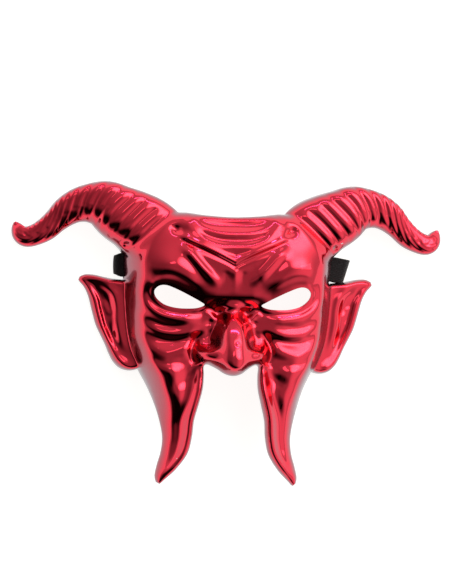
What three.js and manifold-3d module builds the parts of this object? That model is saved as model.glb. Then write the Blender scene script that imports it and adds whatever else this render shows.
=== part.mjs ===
// A horned devil half mask with long curled cheek tails, and its elastic strap.
// Millimetres, +Z up. The mask lies face up with its back rim on z = 0, +Y runs to the horns,
// and x = 0 is the middle of the face.
// One moulding makes face, horns, ears and tails: a thin shell, open at the back.
// It is built as a solid under a height surface, less the same solid moved inwards by the wall.
import * as THREE from "three";
import Module from "manifold-3d";

const wasm = await Module();
wasm.setup();

// Driving sizes
const WALL = 1.6;
const FACE_HALF_WIDTH = 69;
const FOREHEAD_Y = 76.3;
const TAIL_TIP_Y = -101.8;
const NOSE_BOTTOM_Y = -28.3;
const HORN_TIP_X = 144;
const EAR_TIP_X = 98.4;
const STRAP_WIDTH = 16;
const STRAP_THICKNESS = 1.2;
const STRAP_Y = 43.7;
const SLOT_LENGTH = 18;
const SLOT_LOW = 5.4;
const SLOT_HIGH = 8.6;
const RIM_LIFT = 2.8;
const SEWN_START = 64;
const SEWN_END = 48;
const LOOP_OUT_LEFT = 76;
const LOOP_OUT_RIGHT = 82;
const TACK_GAP = 0.25;
const TACK_LENGTH = 5;
const FOLD_REACH = 20;
const FOLD_RADIUS = 2.6;
const FACET_ALLOWANCE = 0.3;
const EDGE = 0.6;
const FLOOR = 0;
const BELOW = -3;

// Mesh spacing
const FACE_COLUMN = 6.3;
const NOSE_COLUMN = 3.6;
const FINEST_ROW = 2.05;
const TAIL_ROW = 5.6;
const RIM_STEP = 9;

// Half outline of face and tails, clockwise from the middle of the forehead:
// x, y, height of the back rim there, and how far the edge takes to round over.
const faceHalf = [
  [0, FOREHEAD_Y, 37, 3],
  [18, 77.3, 35, 3],
  [34, 79, 28, 4],
  [50, 76, 16, 12],
  [63, 64, 9, 15],
  [FACE_HALF_WIDTH + 0.5, 50, 3, 16],
  [FACE_HALF_WIDTH, 34, 0, 16],
  [68, 12, 0, 16],
  [65, -8, 0, 16],
  [58.5, -24, 0, 15],
  [52, -37, 6, 12],
  [47.1, -50, 15, 10],
  [43.9, -62, 19, 9],
  [42.7, -71, 21, 8],
  [43.7, -80, 21, 7],
  [46.1, -88.5, 21, 5],
  [47.4, -96, 22, 3.5],
  [45.2, TAIL_TIP_Y, 23, 2.5],
  [40.8, -97.5, 26, 3.5],
  [33.4, -90, 29, 5],
  [26.9, -80, 32, 5],
  [24.3, -69, 33, 5],
  [23.3, -58, 35, 5],
  [20.6, -47, 37, 4.5],
  [18.3, -37, 37.5, 4],
  [17.8, -28, 38, 3.5],
  [18, -22.4, 38, 3],
  [15.6, -21.2, 40, 4],
  [10.4, -23.7, 46, 6],
  [5.4, -27, 50, 7],
  [0, NOSE_BOTTOM_Y, 50, 7],
];

// Right ear, clockwise from its root above.
const earOutline = [
  [64, 33.4],
  [76, 34.5],
  [88, 36.8],
  [94, 36.9],
  [EAR_TIP_X, 34.8],
  [98.2, 32.4],
  [94.6, 28.4],
  [91.8, 22.5],
  [86.6, 4],
  [80, -9.5],
  [74.3, -21],
  [69.6, -25.2],
  [63.5, -26.6],
  [57, -25.6],
  [54, -20],
  [56, 0],
  [60, 20],
];
const EAR_HEIGHT = 9.5;
const EAR_ROUND = 3;

// Right eye hole, from its inner corner over the lid.
const eyeOutline = [
  [16.8, 17],
  [22, 20.2],
  [29.5, 24.2],
  [37, 28],
  [44, 30.6],
  [49, 30.2],
  [51.9, 27],
  [50.7, 22.6],
  [46, 18.2],
  [40, 15.8],
  [33, 14.8],
  [24, 14.9],
];

// Right horn, from inside the temple to the tip: x, y, half width, rim height, crest height.
const hornSpine = [
  [46, 58.4, 22.7, 13, 35],
  [54.5, 66.8, 22, 14, 37],
  [63.5, 72.7, 20.3, 14, 36.5],
  [73, 77.4, 18.6, 14, 35],
  [82, 83.3, 16, 14, 33],
  [91.5, 84.5, 13.3, 13, 29],
  [100.3, 82.6, 11.4, 12, 25.5],
  [107.8, 78.6, 10, 11, 23],
  [114.5, 72.5, 8.4, 9, 19.8],
  [121, 66.5, 7.9, 8, 17.6],
  [127.5, 62.7, 7.2, 7, 15.8],
  [133.6, 61, 6.8, 6, 14.2],
  [138, 62.5, 5.8, 5, 12.6],
  [140.3, 66, 4.1, 4, 10.2],
  [HORN_TIP_X - 2.2, 69.4, 1.7, 4, 7],
];
const FIRST_RIB = 13;
const RIB_PITCH_BASE = 8.2;
const RIB_PITCH_TIP = 4.8;
const RIB_HEIGHT_BASE = 2.6;
const RIB_HEIGHT_TIP = 1.1;
const RIB_SLANT = 11;

// Height of the face along its middle line, carried on down the tails' inner edges, and of
// the nose above it.
const profile = [
  [-101, 45],
  [-75, 43],
  [-45, 45],
  [-20, 42],
  [8, 44],
  [18, 44.5],
  [28, 49],
  [38, 52.6],
  [58, 50],
  [68, 46],
  [80, 40],
];
const noseRise = [
  [-30, 15],
  [-24, 21],
  [-18, 25.5],
  [-12, 25],
  [-4, 19.5],
  [4, 13.5],
  [11, 7.5],
  [22, 0],
];
const NOSE_TIP_HALF = 12.6;
const NOSE_BRIDGE_HALF = 5.8;
const CHEEK_FALL = 13;
// The tails lean outwards: lower by this much for each millimetre away from TAIL_HIGH_X.
const TAIL_LEAN = 0.7;
const TAIL_HIGH_X = 24;

// Ridges and furrows of the right half: the line they follow, half width and height.
const carving = [
  { line: [[0, 70.6], [10, 71], [19, 73.2]], wide: 3, high: 1.2 },
  { line: [[0, 66.4], [10, 67], [19, 69.8], [26, 77]], wide: 2, high: -2.6 },
  { line: [[0, 62.6], [12, 63.2], [22, 66.8], [31, 77]], wide: 2.8, high: 1.8 },
  { line: [[0, 58.3], [10, 59], [20, 62.4], [31, 72]], wide: 2, high: -2.8 },
  { line: [[0, 53.8], [18, 58.6], [35, 68]], wide: 2.6, high: 1.8 },
  { line: [[0, 45], [8, 50.2], [18, 55.2], [37, 64]], wide: 2, high: -3.4 },
  { line: [[0, 41], [8, 46.6], [18, 51.6], [38, 60.5]], wide: 2.8, high: 2 },
  { line: [[7, 36.5], [13, 39.5], [22, 46.4], [31, 55]], wide: 2, high: -2.8 },
  { line: [[8, 31], [14, 34.6], [27, 47], [35, 55.5]], wide: 3, high: 3.4 },
  { line: [[14, 25], [24, 31], [34, 37.5], [44, 41.5], [54, 40.5]], wide: 6.5, high: 6 },
  { line: [[16, 21], [26, 26.2], [44, 34.2], [52, 33.4], [57, 29]], wide: 2, high: -2.4 },
  { line: [[18, 13.8], [30, 12.6], [42, 13.2], [51, 17.6], [56, 24]], wide: 2.2, high: 2.6 },
  { line: [[18, 10.6], [30, 9.6], [42, 10.2], [57, 20]], wide: 1.8, high: -1.8 },
  { line: [[16, 7.6], [38, 6.8], [48, 8], [56, 12]], wide: 2.4, high: 2.6 },
  { line: [[20, 4.2], [28, 2.4], [38, 1.4], [54, 5.4]], wide: 2, high: -3 },
  { line: [[20, 0.8], [28, -1.8], [38, -2.8], [56, 3]], wide: 2.4, high: 2.6 },
  { line: [[21, -2.6], [29, -5.4], [38, -7], [53, -2.6]], wide: 2, high: -2.8 },
  { line: [[22, -7.2], [31, -10.6], [40, -11.6], [56, -4.4]], wide: 2.4, high: 2.6 },
  { line: [[26, -12.6], [34, -15.2], [42, -15.6], [50, -12.6]], wide: 2, high: -2.2 },
  { line: [[24, -16.6], [34, -19.8], [44, -19.8], [57, -6], [59, 16]], wide: 3, high: 3 },
  { line: [[18.5, 1], [23.5, -4], [26.6, -11], [26.2, -17], [22.5, -21]], wide: 2.3, high: -3.6 },
  { line: [[23, -22], [25, -38], [26.4, -54], [28.6, -72], [37, -90], [44, -98]], wide: 3, high: 2.6 },
  { line: [[34, -26], [34, -48], [33.4, -68], [37, -82], [42, -92]], wide: 4, high: -2.6 },
];

// Ear: its rolled rim, the fold inside it and the hollow between them.
const earCarving = [
  { line: [[70, 30], [86, 33], [92, 28], [89, 20], [83, 4], [77, -9.5], [70, -20]], wide: 2.6, high: 2.6 },
  { line: [[88, 28], [84.5, 18], [80.5, 4], [75.5, -9.5], [71, -17]], wide: 2.6, high: -3 },
  { line: [[80, 29], [75, 24], [73.2, 12], [72, 0], [69, -12]], wide: 2.8, high: 2.6 },
];

// Round swellings and hollows: x, y, half length, half width, turn in degrees, height.
const swellings = [
  [44, 46, 15, 8, 8, 3.5],
  [37, 22.5, 19, 8.5, 17, -4],
  [17.4, -14.4, 6.8, 5.6, -10, 10],
  [14.6, -4.6, 4.2, 5, 25, -4.5],
  [8.5, 13.2, 4.4, 3, 0, -4],
  [31.5, -27, 9, 5.5, -32, -4.5],
];

// Points along a smooth curve through the given ones, with `steps` to each stretch.
function curveThrough(points, steps, closed) {
  const count = points.length;
  const at = (i) => {
    if (closed) {
      return points[(i + count) % count];
    }
    if (i < 0) {
      return points[0].map((v, k) => 2 * v - points[1][k]);
    }
    if (i >= count) {
      return points[count - 1].map((v, k) => 2 * v - points[count - 2][k]);
    }
    return points[i];
  };
  const out = [];
  const stretches = closed ? count : count - 1;
  for (let i = 0; i < stretches; i++) {
    const [a, b, c, d] = [at(i - 1), at(i), at(i + 1), at(i + 2)];
    for (let n = 0; n < steps; n++) {
      const t = n / steps;
      out.push(b.map((v, k) => 0.5 * (2 * v + (c[k] - a[k]) * t
        + (2 * a[k] - 5 * v + 4 * c[k] - d[k]) * t * t
        + (3 * v - a[k] - 3 * c[k] + d[k]) * t * t * t)));
    }
  }
  if (!closed) {
    out.push([...points[count - 1]]);
  }
  return out;
}

// Nearest point of a polyline: distance, place along it from 0 to 1, and side.
function nearest(x, y, line, closed) {
  const last = closed ? line.length : line.length - 1;
  let best = { distance: Infinity, along: 0, index: 0, share: 0 };
  for (let i = 0; i < last; i++) {
    const a = line[i];
    const b = line[(i + 1) % line.length];
    const dx = b[0] - a[0];
    const dy = b[1] - a[1];
    const share = THREE.MathUtils.clamp(
      ((x - a[0]) * dx + (y - a[1]) * dy) / (dx * dx + dy * dy), 0, 1);
    const distance = Math.hypot(x - a[0] - share * dx, y - a[1] - share * dy);
    if (distance < best.distance) {
      best = { distance, along: (i + share) / last, index: i, share };
    }
  }
  return best;
}

// True where the point is inside the closed polygon.
function isInside(x, y, polygon) {
  let inside = false;
  for (let i = 0, j = polygon.length - 1; i < polygon.length; j = i++) {
    const a = polygon[i];
    const b = polygon[j];
    if ((a[1] > y) !== (b[1] > y) && x < (b[0] - a[0]) * (y - a[1]) / (b[1] - a[1]) + a[0]) {
      inside = !inside;
    }
  }
  return inside;
}

// Signed distance to a closed outline, positive inside.
function depthIn(x, y, outline) {
  const { distance } = nearest(x, y, outline, true);
  return isInside(x, y, outline) ? distance : -distance;
}

// Value between the steps of a table of [position, value] rows, smoothed by a cubic.
function readTable(table, position) {
  const last = table.length - 1;
  if (position <= table[0][0]) {
    return table[0][1];
  }
  if (position >= table[last][0]) {
    return table[last][1];
  }
  let i = 0;
  while (table[i + 1][0] < position) {
    i++;
  }
  const slope = (k) => {
    const low = table[Math.max(k - 1, 0)];
    const high = table[Math.min(k + 1, last)];
    return (high[1] - low[1]) / (high[0] - low[0]);
  };
  const width = table[i + 1][0] - table[i][0];
  const t = (position - table[i][0]) / width;
  return (2 * t ** 3 - 3 * t ** 2 + 1) * table[i][1] + (t ** 3 - 2 * t ** 2 + t) * width * slope(i)
    + (3 * t ** 2 - 2 * t ** 3) * table[i + 1][1] + (t ** 3 - t ** 2) * width * slope(i + 1);
}

// Sum of the ridges and furrows at a point. Each fades out over the ends of its line.
function carvedHeight(x, y, features) {
  let height = 0;
  for (const { line, wide, high } of features) {
    const { distance, along } = nearest(x, y, line, false);
    if (distance > 4 * wide) {
      continue;
    }
    const starts = line[0][0] === 0 ? 1 : THREE.MathUtils.smoothstep(along, 0, 0.2);
    const ends = THREE.MathUtils.smoothstep(1 - along, 0, 0.22);
    height += high * starts * ends * Math.exp(-((distance / wide) ** 2));
  }
  return height;
}

// Sum of the round swellings at a point.
function swellingHeight(x, y) {
  let height = 0;
  for (const [cx, cy, long, wide, turn, high] of swellings) {
    const angle = THREE.MathUtils.degToRad(turn);
    const u = ((x - cx) * Math.cos(angle) + (y - cy) * Math.sin(angle)) / long;
    const v = ((y - cy) * Math.cos(angle) - (x - cx) * Math.sin(angle)) / wide;
    height += high * Math.exp(-(u * u + v * v));
  }
  return height;
}

// A quarter round, from 0 at the edge to 1 at its full depth.
function quarterRound(depth) {
  const u = THREE.MathUtils.clamp(depth, 0, 1);
  return Math.sqrt(1 - (1 - u) ** 2);
}

const mirrorList = (half) => half.slice(1, -1).reverse().map(([x, ...rest]) => [-x, ...rest]);
const faceOutline = curveThrough([...faceHalf, ...mirrorList(faceHalf)], 5, true);
const earCurve = curveThrough(earOutline, 5, true);
const eyeCurve = curveThrough(eyeOutline, 3, true);
const smoothLines = (features) => features.map(({ line, wide, high }) => (
  { line: curveThrough(line, 5, false), wide, high }));
const faceFeatures = smoothLines(carving);
const earFeatures = smoothLines(earCarving);

// The outline's own columns (rim height, rounding) spread over the plane, nearer points first.
function spread(x, y, column) {
  let sum = 0;
  let total = 0;
  for (const point of faceOutline) {
    const share = 1 / ((x - point[0]) ** 2 + (y - point[1]) ** 2 + 9) ** 2;
    sum += share * point[column];
    total += share;
  }
  return sum / total;
}

// Outer height of face and tails, with no edge rounding.
function faceTop(x, y) {
  const a = Math.abs(x);
  const towardsTails = THREE.MathUtils.smoothstep(y, -60, -20);
  const fall = CHEEK_FALL * (a / 58) ** 3.2 * towardsTails
    + TAIL_LEAN * (a - TAIL_HIGH_X) * (1 - towardsTails);
  const bridge = THREE.MathUtils.smoothstep(y, -20, 16);
  const noseHalf = THREE.MathUtils.lerp(NOSE_TIP_HALF, NOSE_BRIDGE_HALF, bridge);
  const nose = readTable(noseRise, y) * Math.exp(-((a / noseHalf) ** 2.6));
  return readTable(profile, y) - fall + carvedHeight(a, y, faceFeatures)
    + swellingHeight(a, y) + nose;
}

// Depth inside the mask's outline without its horns, positive inside.
function maskDepth(x, y) {
  return Math.max(depthIn(x, y, faceOutline), depthIn(Math.abs(x), y, earCurve));
}

// Outer height of face, tails and ears at a point inside the outline.
function maskHeight(x, y) {
  const a = Math.abs(x);
  let height = EDGE;
  const faceDepth = depthIn(x, y, faceOutline);
  if (faceDepth > 0) {
    const rim = spread(x, y, 2);
    const rounded = quarterRound(faceDepth / spread(x, y, 3));
    height = Math.max(height, rim + (faceTop(x, y) - rim) * rounded);
  }
  const earDepth = depthIn(a, y, earCurve);
  if (earDepth > 0) {
    const ear = EAR_HEIGHT + 0.1 * (a - 70) + carvedHeight(a, y, earFeatures);
    height = Math.max(height, ear * quarterRound(earDepth / EAR_ROUND));
  }
  return height;
}

// The same surface moved inwards by the wall: the lowest ball of that radius under it.
function innerHeight(x, y) {
  const ball = WALL + FACET_ALLOWANCE;
  let height = maskHeight(x, y) - ball;
  for (const reach of [0.55, 0.98]) {
    const drop = ball * Math.sqrt(1 - reach * reach);
    for (let n = 0; n < 8; n++) {
      const angle = n * Math.PI / 4;
      const nearX = x + ball * reach * Math.cos(angle);
      const nearY = y + ball * reach * Math.sin(angle);
      height = Math.min(height, maskHeight(nearX, nearY) - drop);
    }
  }
  return Math.max(height, FLOOR + 0.4);
}

// A closed solid from vertices and triangles.
function solidFrom(vertices, triangles) {
  return new wasm.Manifold(new wasm.Mesh({
    numProp: 3,
    vertProperties: new Float32Array(vertices.flat()),
    triVerts: new Uint32Array(triangles.flat()),
  }));
}

// A slab between a top and a bottom that share one triangulation in plan.
// `plan` holds points [x, y, top] and triangles, counter-clockwise seen from above.
function slab(plan, bottom) {
  const count = plan.points.length;
  const vertices = [...plan.points, ...plan.points.map(([x, y]) => [x, y, bottom])];
  const triangles = [];
  const open = new Map();
  for (const [a, b, c] of plan.triangles) {
    triangles.push([a, b, c], [a + count, c + count, b + count]);
    for (const [from, to] of [[a, b], [b, c], [c, a]]) {
      if (!open.delete(to + "," + from)) {
        open.set(from + "," + to, [from, to]);
      }
    }
  }
  for (const [from, to] of open.values()) {
    triangles.push([to, from, from + count], [to, from + count, to + count]);
  }
  return solidFrom(vertices, triangles);
}

// Slope of a depth function, which points straight inwards from the nearest edge.
function inwards(depth, x, y) {
  const step = 0.05;
  const dx = depth(x + step, y) - depth(x - step, y);
  const dy = depth(x, y + step) - depth(x, y - step);
  const size = Math.hypot(dx, dy) || 1;
  return [dx / size, dy / size];
}

// Tail edges by height, worked out from the outline: inner and outer x.
const tailOuter = faceHalf.slice(9, 18).reverse().map(([x, y]) => [y, x]);
const tailInner = faceHalf.slice(17, 26).map(([x, y]) => [y, x]);
const TAIL_ROOT_Y = faceHalf[25][1];

// Outer edge of the ear by height. Columns past its root keep to shares of its width,
// one on each crest and hollow.
const EAR_ROOT_X = 68;
const earEdge = [[-27, 70], [-21, 73.5], [-9.5, 80], [4, 86.6], [22.5, 91.8], [29, 95], [34, EAR_TIP_X]];
const earShares = [0.25, 0.5, 0.71, 0.88, 1, 1.2];

// The grid bends in plan so that its rows run along the folds of forehead and cheeks,
// and its columns run down the tails and ears.
function bentPlace(x, y) {
  const a = Math.abs(x);
  const side = Math.sign(x);
  if (y < TAIL_ROOT_Y) {
    const [inner, outer] = [readTable(tailInner, y), readTable(tailOuter, y)];
    const [rootInner, rootOuter] = [readTable(tailInner, 0), readTable(tailOuter, 0)];
    const share = (a - (rootInner + rootOuter) / 2) / (rootOuter - rootInner);
    return [side * ((inner + outer) / 2 + share * Math.max(outer - inner, 6)), y];
  }
  if (a > EAR_ROOT_X) {
    const share = (a - EAR_ROOT_X) / (EAR_TIP_X - EAR_ROOT_X);
    return [side * (EAR_ROOT_X + share * (readTable(earEdge, y) - EAR_ROOT_X)), y];
  }
  const { smoothstep } = THREE.MathUtils;
  const forehead = 14 * (Math.min(a, 36) / 36) ** 1.4 * smoothstep(y, 34, 52)
    * (1 - smoothstep(a, 44, EAR_ROOT_X));
  const cheek = 3.2 * Math.min(1, ((a - 38) / 18) ** 2)
    * (1 - smoothstep(y, 10, 24)) * smoothstep(y, TAIL_ROOT_Y, TAIL_ROOT_Y + 8)
    * (1 - smoothstep(a, 58, EAR_ROOT_X));
  return [x, y + forehead + cheek];
}

// Triangles over the region where depth is positive: a grid whose vertices near the line
// depth = insets[0] move onto it, then a band of rings out to the edge.
function planOf(columns, rows, depth, height, insets) {
  const [start] = insets;
  const points = [];
  const values = [];
  const settle = (x, y) => {
    let place = [x, y];
    for (let turn = 0; turn < 2; turn++) {
      const [nx, ny] = inwards(depth, ...place);
      const miss = depth(...place) - start;
      place = [place[0] - nx * miss, place[1] - ny * miss];
    }
    return place;
  };
  const gridIndex = [];
  rows.forEach((y, j) => {
    gridIndex.push([]);
    columns.forEach((x, i) => {
      const reach = 0.3 * Math.min(
        Math.abs((columns[i + 1] ?? Infinity) - x), Math.abs((rows[j + 1] ?? Infinity) - y),
        Math.abs(x - (columns[i - 1] ?? -Infinity)), Math.abs(y - (rows[j - 1] ?? -Infinity)));
      let place = bentPlace(x, y);
      let value = depth(...place) - start;
      if (Math.abs(value) < reach) {
        place = settle(...place);
        value = 0;
      }
      gridIndex[j].push(points.length);
      points.push(place);
      values.push(value);
    });
  });
  const crossings = new Map();
  const crossing = (a, b) => {
    const key = Math.min(a, b) + "," + Math.max(a, b);
    if (!crossings.has(key)) {
      const share = values[a] / (values[a] - values[b]);
      const x = points[a][0] + share * (points[b][0] - points[a][0]);
      const y = points[a][1] + share * (points[b][1] - points[a][1]);
      crossings.set(key, points.length);
      points.push(settle(x, y));
      values.push(0);
    }
    return crossings.get(key);
  };
  const triangles = [];
  const addClipped = (corners) => {
    const kept = [];
    if (corners.every((c) => values[c] <= 0)) {
      return;
    }
    corners.forEach((a, n) => {
      const b = corners[(n + 1) % 3];
      if (values[a] >= 0) {
        kept.push(a);
      }
      if ((values[a] > 0 && values[b] < 0) || (values[a] < 0 && values[b] > 0)) {
        kept.push(crossing(a, b));
      }
    });
    for (let n = 1; n + 1 < kept.length; n++) {
      triangles.push([kept[0], kept[n], kept[n + 1]]);
    }
  };
  for (let j = 0; j + 1 < rows.length; j++) {
    for (let i = 0; i + 1 < columns.length; i++) {
      const [a, b] = [gridIndex[j][i], gridIndex[j][i + 1]];
      const [d, c] = [gridIndex[j + 1][i], gridIndex[j + 1][i + 1]];
      const rising = columns[i] + columns[i + 1] > 0;
      const halves = rising ? [[a, b, c], [a, c, d]] : [[a, b, d], [b, c, d]];
      halves.forEach(addClipped);
    }
  }
  // The open edges of the clipped grid, each followed outwards by the rings.
  const open = new Map();
  for (const [a, b, c] of triangles) {
    for (const [from, to] of [[a, b], [b, c], [c, a]]) {
      if (!open.delete(to + "," + from)) {
        open.set(from + "," + to, [from, to]);
      }
    }
  }
  const ringOf = new Map();
  const ringAt = (index) => {
    if (!ringOf.has(index)) {
      const [x, y] = points[index];
      const [nx, ny] = inwards(depth, x, y);
      ringOf.set(index, [index, ...insets.slice(1).map((inset) => {
        points.push([x - nx * (start - inset), y - ny * (start - inset)]);
        return points.length - 1;
      })]);
    }
    return ringOf.get(index);
  };
  for (const [from, to] of open.values()) {
    const [p, q] = [ringAt(from), ringAt(to)];
    for (let k = 0; k + 1 < p.length; k++) {
      triangles.push([q[k], p[k], p[k + 1]], [q[k], p[k + 1], q[k + 1]]);
    }
  }
  // Only the points in use, each with its height.
  const used = new Map();
  const outPoints = [];
  const outTriangles = triangles.map((triangle) => triangle.map((index) => {
    if (!used.has(index)) {
      const [x, y] = points[index];
      used.set(index, outPoints.length);
      outPoints.push([x, y, height(x, y)]);
    }
    return used.get(index);
  }));
  return { points: outPoints, triangles: outTriangles };
}

// Even steps from low to high, both ends included.
function stepsBetween(low, high, size) {
  const count = Math.max(1, Math.round(Math.abs(high - low) / size));
  return Array.from({ length: count + 1 }, (_, n) => low + (high - low) * n / count);
}

// Grid columns, and rows that keep to the crests and furrows of cheeks and forehead.
const halfColumns = [
  ...stepsBetween(0, 18, NOSE_COLUMN),
  ...stepsBetween(18, EAR_ROOT_X, FACE_COLUMN).slice(1),
  ...earShares.map((share) => EAR_ROOT_X + share * (EAR_TIP_X - EAR_ROOT_X)),
];
const columns = [...halfColumns.slice(1).reverse().map((x) => -x), ...halfColumns];
const foldRows = [TAIL_ROOT_Y, -23.9, -19.8, -15.6, -11.6, -7, -2.8, 1.4, 6.8, 10.2, 13.2, 20, 28, 34,
  37.6, 41, 45, 49.4, 53.8, 58.3, 62.6, 66.4, 70.6, 76.4, 82];
const tailRows = [
  TAIL_TIP_Y - 2,
  TAIL_TIP_Y + 1.2,
  ...stepsBetween(TAIL_TIP_Y + 4, TAIL_ROOT_Y, TAIL_ROW),
];
const innerRows = [...tailRows, ...foldRows.slice(1)];
const rows = [...tailRows];
for (let n = 1; n < foldRows.length; n++) {
  const gap = foldRows[n] - foldRows[n - 1];
  const size = gap < FINEST_ROW * 2 ? gap : gap / 2;
  rows.push(...stepsBetween(foldRows[n - 1], foldRows[n], size).slice(1));
}
const innerDepth = (x, y) => maskDepth(x, y) - WALL;
const outerFace = slab(planOf(columns, rows, maskDepth, maskHeight, [0.9, 0]), FLOOR);
const innerFace = slab(planOf(columns, innerRows, innerDepth, innerHeight, [1, 0]), BELOW);

// One horn as rows of arches across its spine, slanted as the ribs are.
// `shrink` moves its surface inwards, and with it the ribs go.
function horn(shrink, ringsPerRib, archSteps) {
  const spine = curveThrough(hornSpine, 8, false);
  const arc = [0];
  for (let i = 1; i < spine.length; i++) {
    const [a, b] = [spine[i - 1], spine[i]];
    arc.push(arc[i - 1] + Math.hypot(b[0] - a[0], b[1] - a[1]));
  }
  const length = arc[arc.length - 1];
  const at = (distance) => {
    const along = THREE.MathUtils.clamp(distance, 0, length);
    let i = 0;
    while (i + 2 < spine.length && arc[i + 1] < along) {
      i++;
    }
    const share = (along - arc[i]) / (arc[i + 1] - arc[i]);
    const place = spine[i].map((v, k) => v + share * (spine[i + 1][k] - v));
    const dx = spine[i + 1][0] - spine[i][0];
    const dy = spine[i + 1][1] - spine[i][1];
    const size = Math.hypot(dx, dy);
    return { place, side: [-dy / size, dx / size] };
  };
  // Distances along the spine where the ribs meet, closer together towards the tip.
  const seams = [0, FIRST_RIB];
  while (seams[seams.length - 1] < length - 3) {
    const here = seams[seams.length - 1];
    seams.push(here + THREE.MathUtils.lerp(RIB_PITCH_BASE, RIB_PITCH_TIP, here / length));
  }
  const stations = [];
  for (let n = 0; n + 1 < seams.length; n++) {
    for (let k = 0; k < ringsPerRib; k++) {
      const share = k / ringsPerRib;
      stations.push([THREE.MathUtils.lerp(seams[n], seams[n + 1], share), share]);
    }
  }
  stations.push([length, 0]);
  const points = [];
  stations.forEach(([station, share]) => {
    for (let j = 0; j <= archSteps; j++) {
      const angle = Math.PI * j / archSteps;
      const v = -Math.cos(angle);
      const fade = THREE.MathUtils.smoothstep(station, 0, 30)
        * THREE.MathUtils.smoothstep(length - station, 0, 14);
      const slanted = station - RIB_SLANT * v * fade;
      const { place, side } = at(slanted);
      const [x, y, half, rim, crest] = place;
      const ribHeight = THREE.MathUtils.lerp(RIB_HEIGHT_BASE, RIB_HEIGHT_TIP, station / length)
        * THREE.MathUtils.smoothstep(station, 2, FIRST_RIB);
      const rib = ribHeight * (Math.sin(Math.PI * share) ** 0.8 - 0.75);
      const rise = crest - rim + (shrink > 0 ? -ribHeight * 0.75 : rib) - shrink;
      const width = Math.max(half - shrink, 0.4);
      points.push([
        x + side[0] * v * width,
        y + side[1] * v * width,
        rim + Math.max(rise, 0.5) * Math.sin(angle),
      ]);
    }
  });
  const triangles = [];
  const across = archSteps + 1;
  for (let n = 0; n + 1 < stations.length; n++) {
    for (let j = 0; j < archSteps; j++) {
      const a = n * across + j;
      triangles.push([a, a + across, a + across + 1], [a, a + across + 1, a + 1]);
    }
  }
  return slab({ points, triangles }, shrink > 0 ? BELOW : FLOOR);
}

const bothSides = (solid) => [solid, solid.mirror([1, 0, 0])];
const outerHorn = horn(0, 3, 7);
const innerHorn = horn(WALL, 1, 5);

// Everything under the back rim, which is level at the floor along cheeks and ears. It rises
// behind the horns, along the forehead, under the nose and down both edges of the tails.
function rimHeight(x, y) {
  const a = Math.abs(x);
  let sum = 0;
  let total = 0;
  const add = (px, py, rim) => {
    const share = 1 / ((a - px) ** 2 + (y - py) ** 2 + 16) ** 2;
    sum += share * rim;
    total += share;
  };
  faceOutline.forEach(([px, py, rim]) => add(Math.abs(px), py, rim));
  hornSpine.slice(2).forEach(([px, py, half, rim]) => {
    for (const side of [-1, -0.4, 0.4, 1]) {
      add(px, py + side * half, rim);
    }
  });
  earCurve.forEach(([px, py]) => add(px, py, 0));
  return sum / total - 0.6;
}
const rimColumns = stepsBetween(-150, 150, RIM_STEP);
const rimRows = stepsBetween(-106, 106, RIM_STEP);
const rimPlan = { points: [], triangles: [] };
rimRows.forEach((y, j) => rimColumns.forEach((x, i) => {
  rimPlan.points.push([x, y, rimHeight(x, y)]);
  if (i > 0 && j > 0) {
    const here = j * rimColumns.length + i;
    const below = here - rimColumns.length;
    rimPlan.triangles.push([below - 1, below, here], [below - 1, here, here - 1]);
  }
}));
const underRim = slab(rimPlan, BELOW * 3);

// A prism over a polygon in the xy plane.
function prism(polygon, low, high) {
  const contour = polygon.map(([x, y]) => new THREE.Vector2(x, y));
  if (THREE.ShapeUtils.area(contour) < 0) {
    contour.reverse();
  }
  const points = contour.map((p) => [p.x, p.y, high]);
  return slab({ points, triangles: THREE.ShapeUtils.triangulateShape(contour, []) }, low);
}

// A prism over a profile in the xz plane, from y = low to y = high.
function profileBar(profileXZ, low, high) {
  return prism(profileXZ.map(([x, z]) => [x, -z]), low, high).rotate([-90, 0, 0]);
}

const eyeHole = prism(eyeCurve, 15, 80);
const slotSide = STRAP_Y - SLOT_LENGTH / 2;
const slot = profileBar([
  [FACE_HALF_WIDTH - 6, SLOT_LOW],
  [FACE_HALF_WIDTH + 4, SLOT_LOW],
  [FACE_HALF_WIDTH + 4, SLOT_HIGH],
  [FACE_HALF_WIDTH - 6, SLOT_HIGH],
], slotSide, slotSide + SLOT_LENGTH);
const lift = profileBar([
  [FACE_HALF_WIDTH - 8, BELOW],
  [FACE_HALF_WIDTH + 4, BELOW],
  [FACE_HALF_WIDTH + 4, RIM_LIFT],
  [FACE_HALF_WIDTH - 8, RIM_LIFT],
], slotSide - 0.5, slotSide + SLOT_LENGTH + 0.5);

const maskShell = [outerFace, ...bothSides(outerHorn)].reduce((sum, one) => sum.add(one));
const cuts = [innerFace, ...bothSides(innerHorn), underRim, ...bothSides(eyeHole),
  ...bothSides(slot), ...bothSides(lift)];
const shell = cuts.reduce((sum, one) => sum.subtract(one), maskShell);

// Each end of the strap goes out through its slot, back under the rim, and is tacked down
// on itself: the middle line of a loop on the right, from its sewn end to the floor.
const flat = STRAP_THICKNESS / 2;
const sewn = STRAP_THICKNESS * 1.5 + TACK_GAP;
const slotMiddle = (SLOT_LOW + SLOT_HIGH) / 2;
const bend = (slotMiddle - flat) / 2;
const loopLine = (loopOut) => [
  [SEWN_END, sewn],
  [57, sewn],
  [60, 2.8],
  [63, 4.5],
  [66, 6.2],
  [69, slotMiddle],
  ...stepsBetween(90, -90, 30).map((degrees) => {
    const angle = THREE.MathUtils.degToRad(degrees);
    return [
      loopOut - bend + bend * Math.cos(angle),
      slotMiddle - bend + bend * Math.sin(angle),
    ];
  }),
  [SEWN_START, flat],
];

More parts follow.
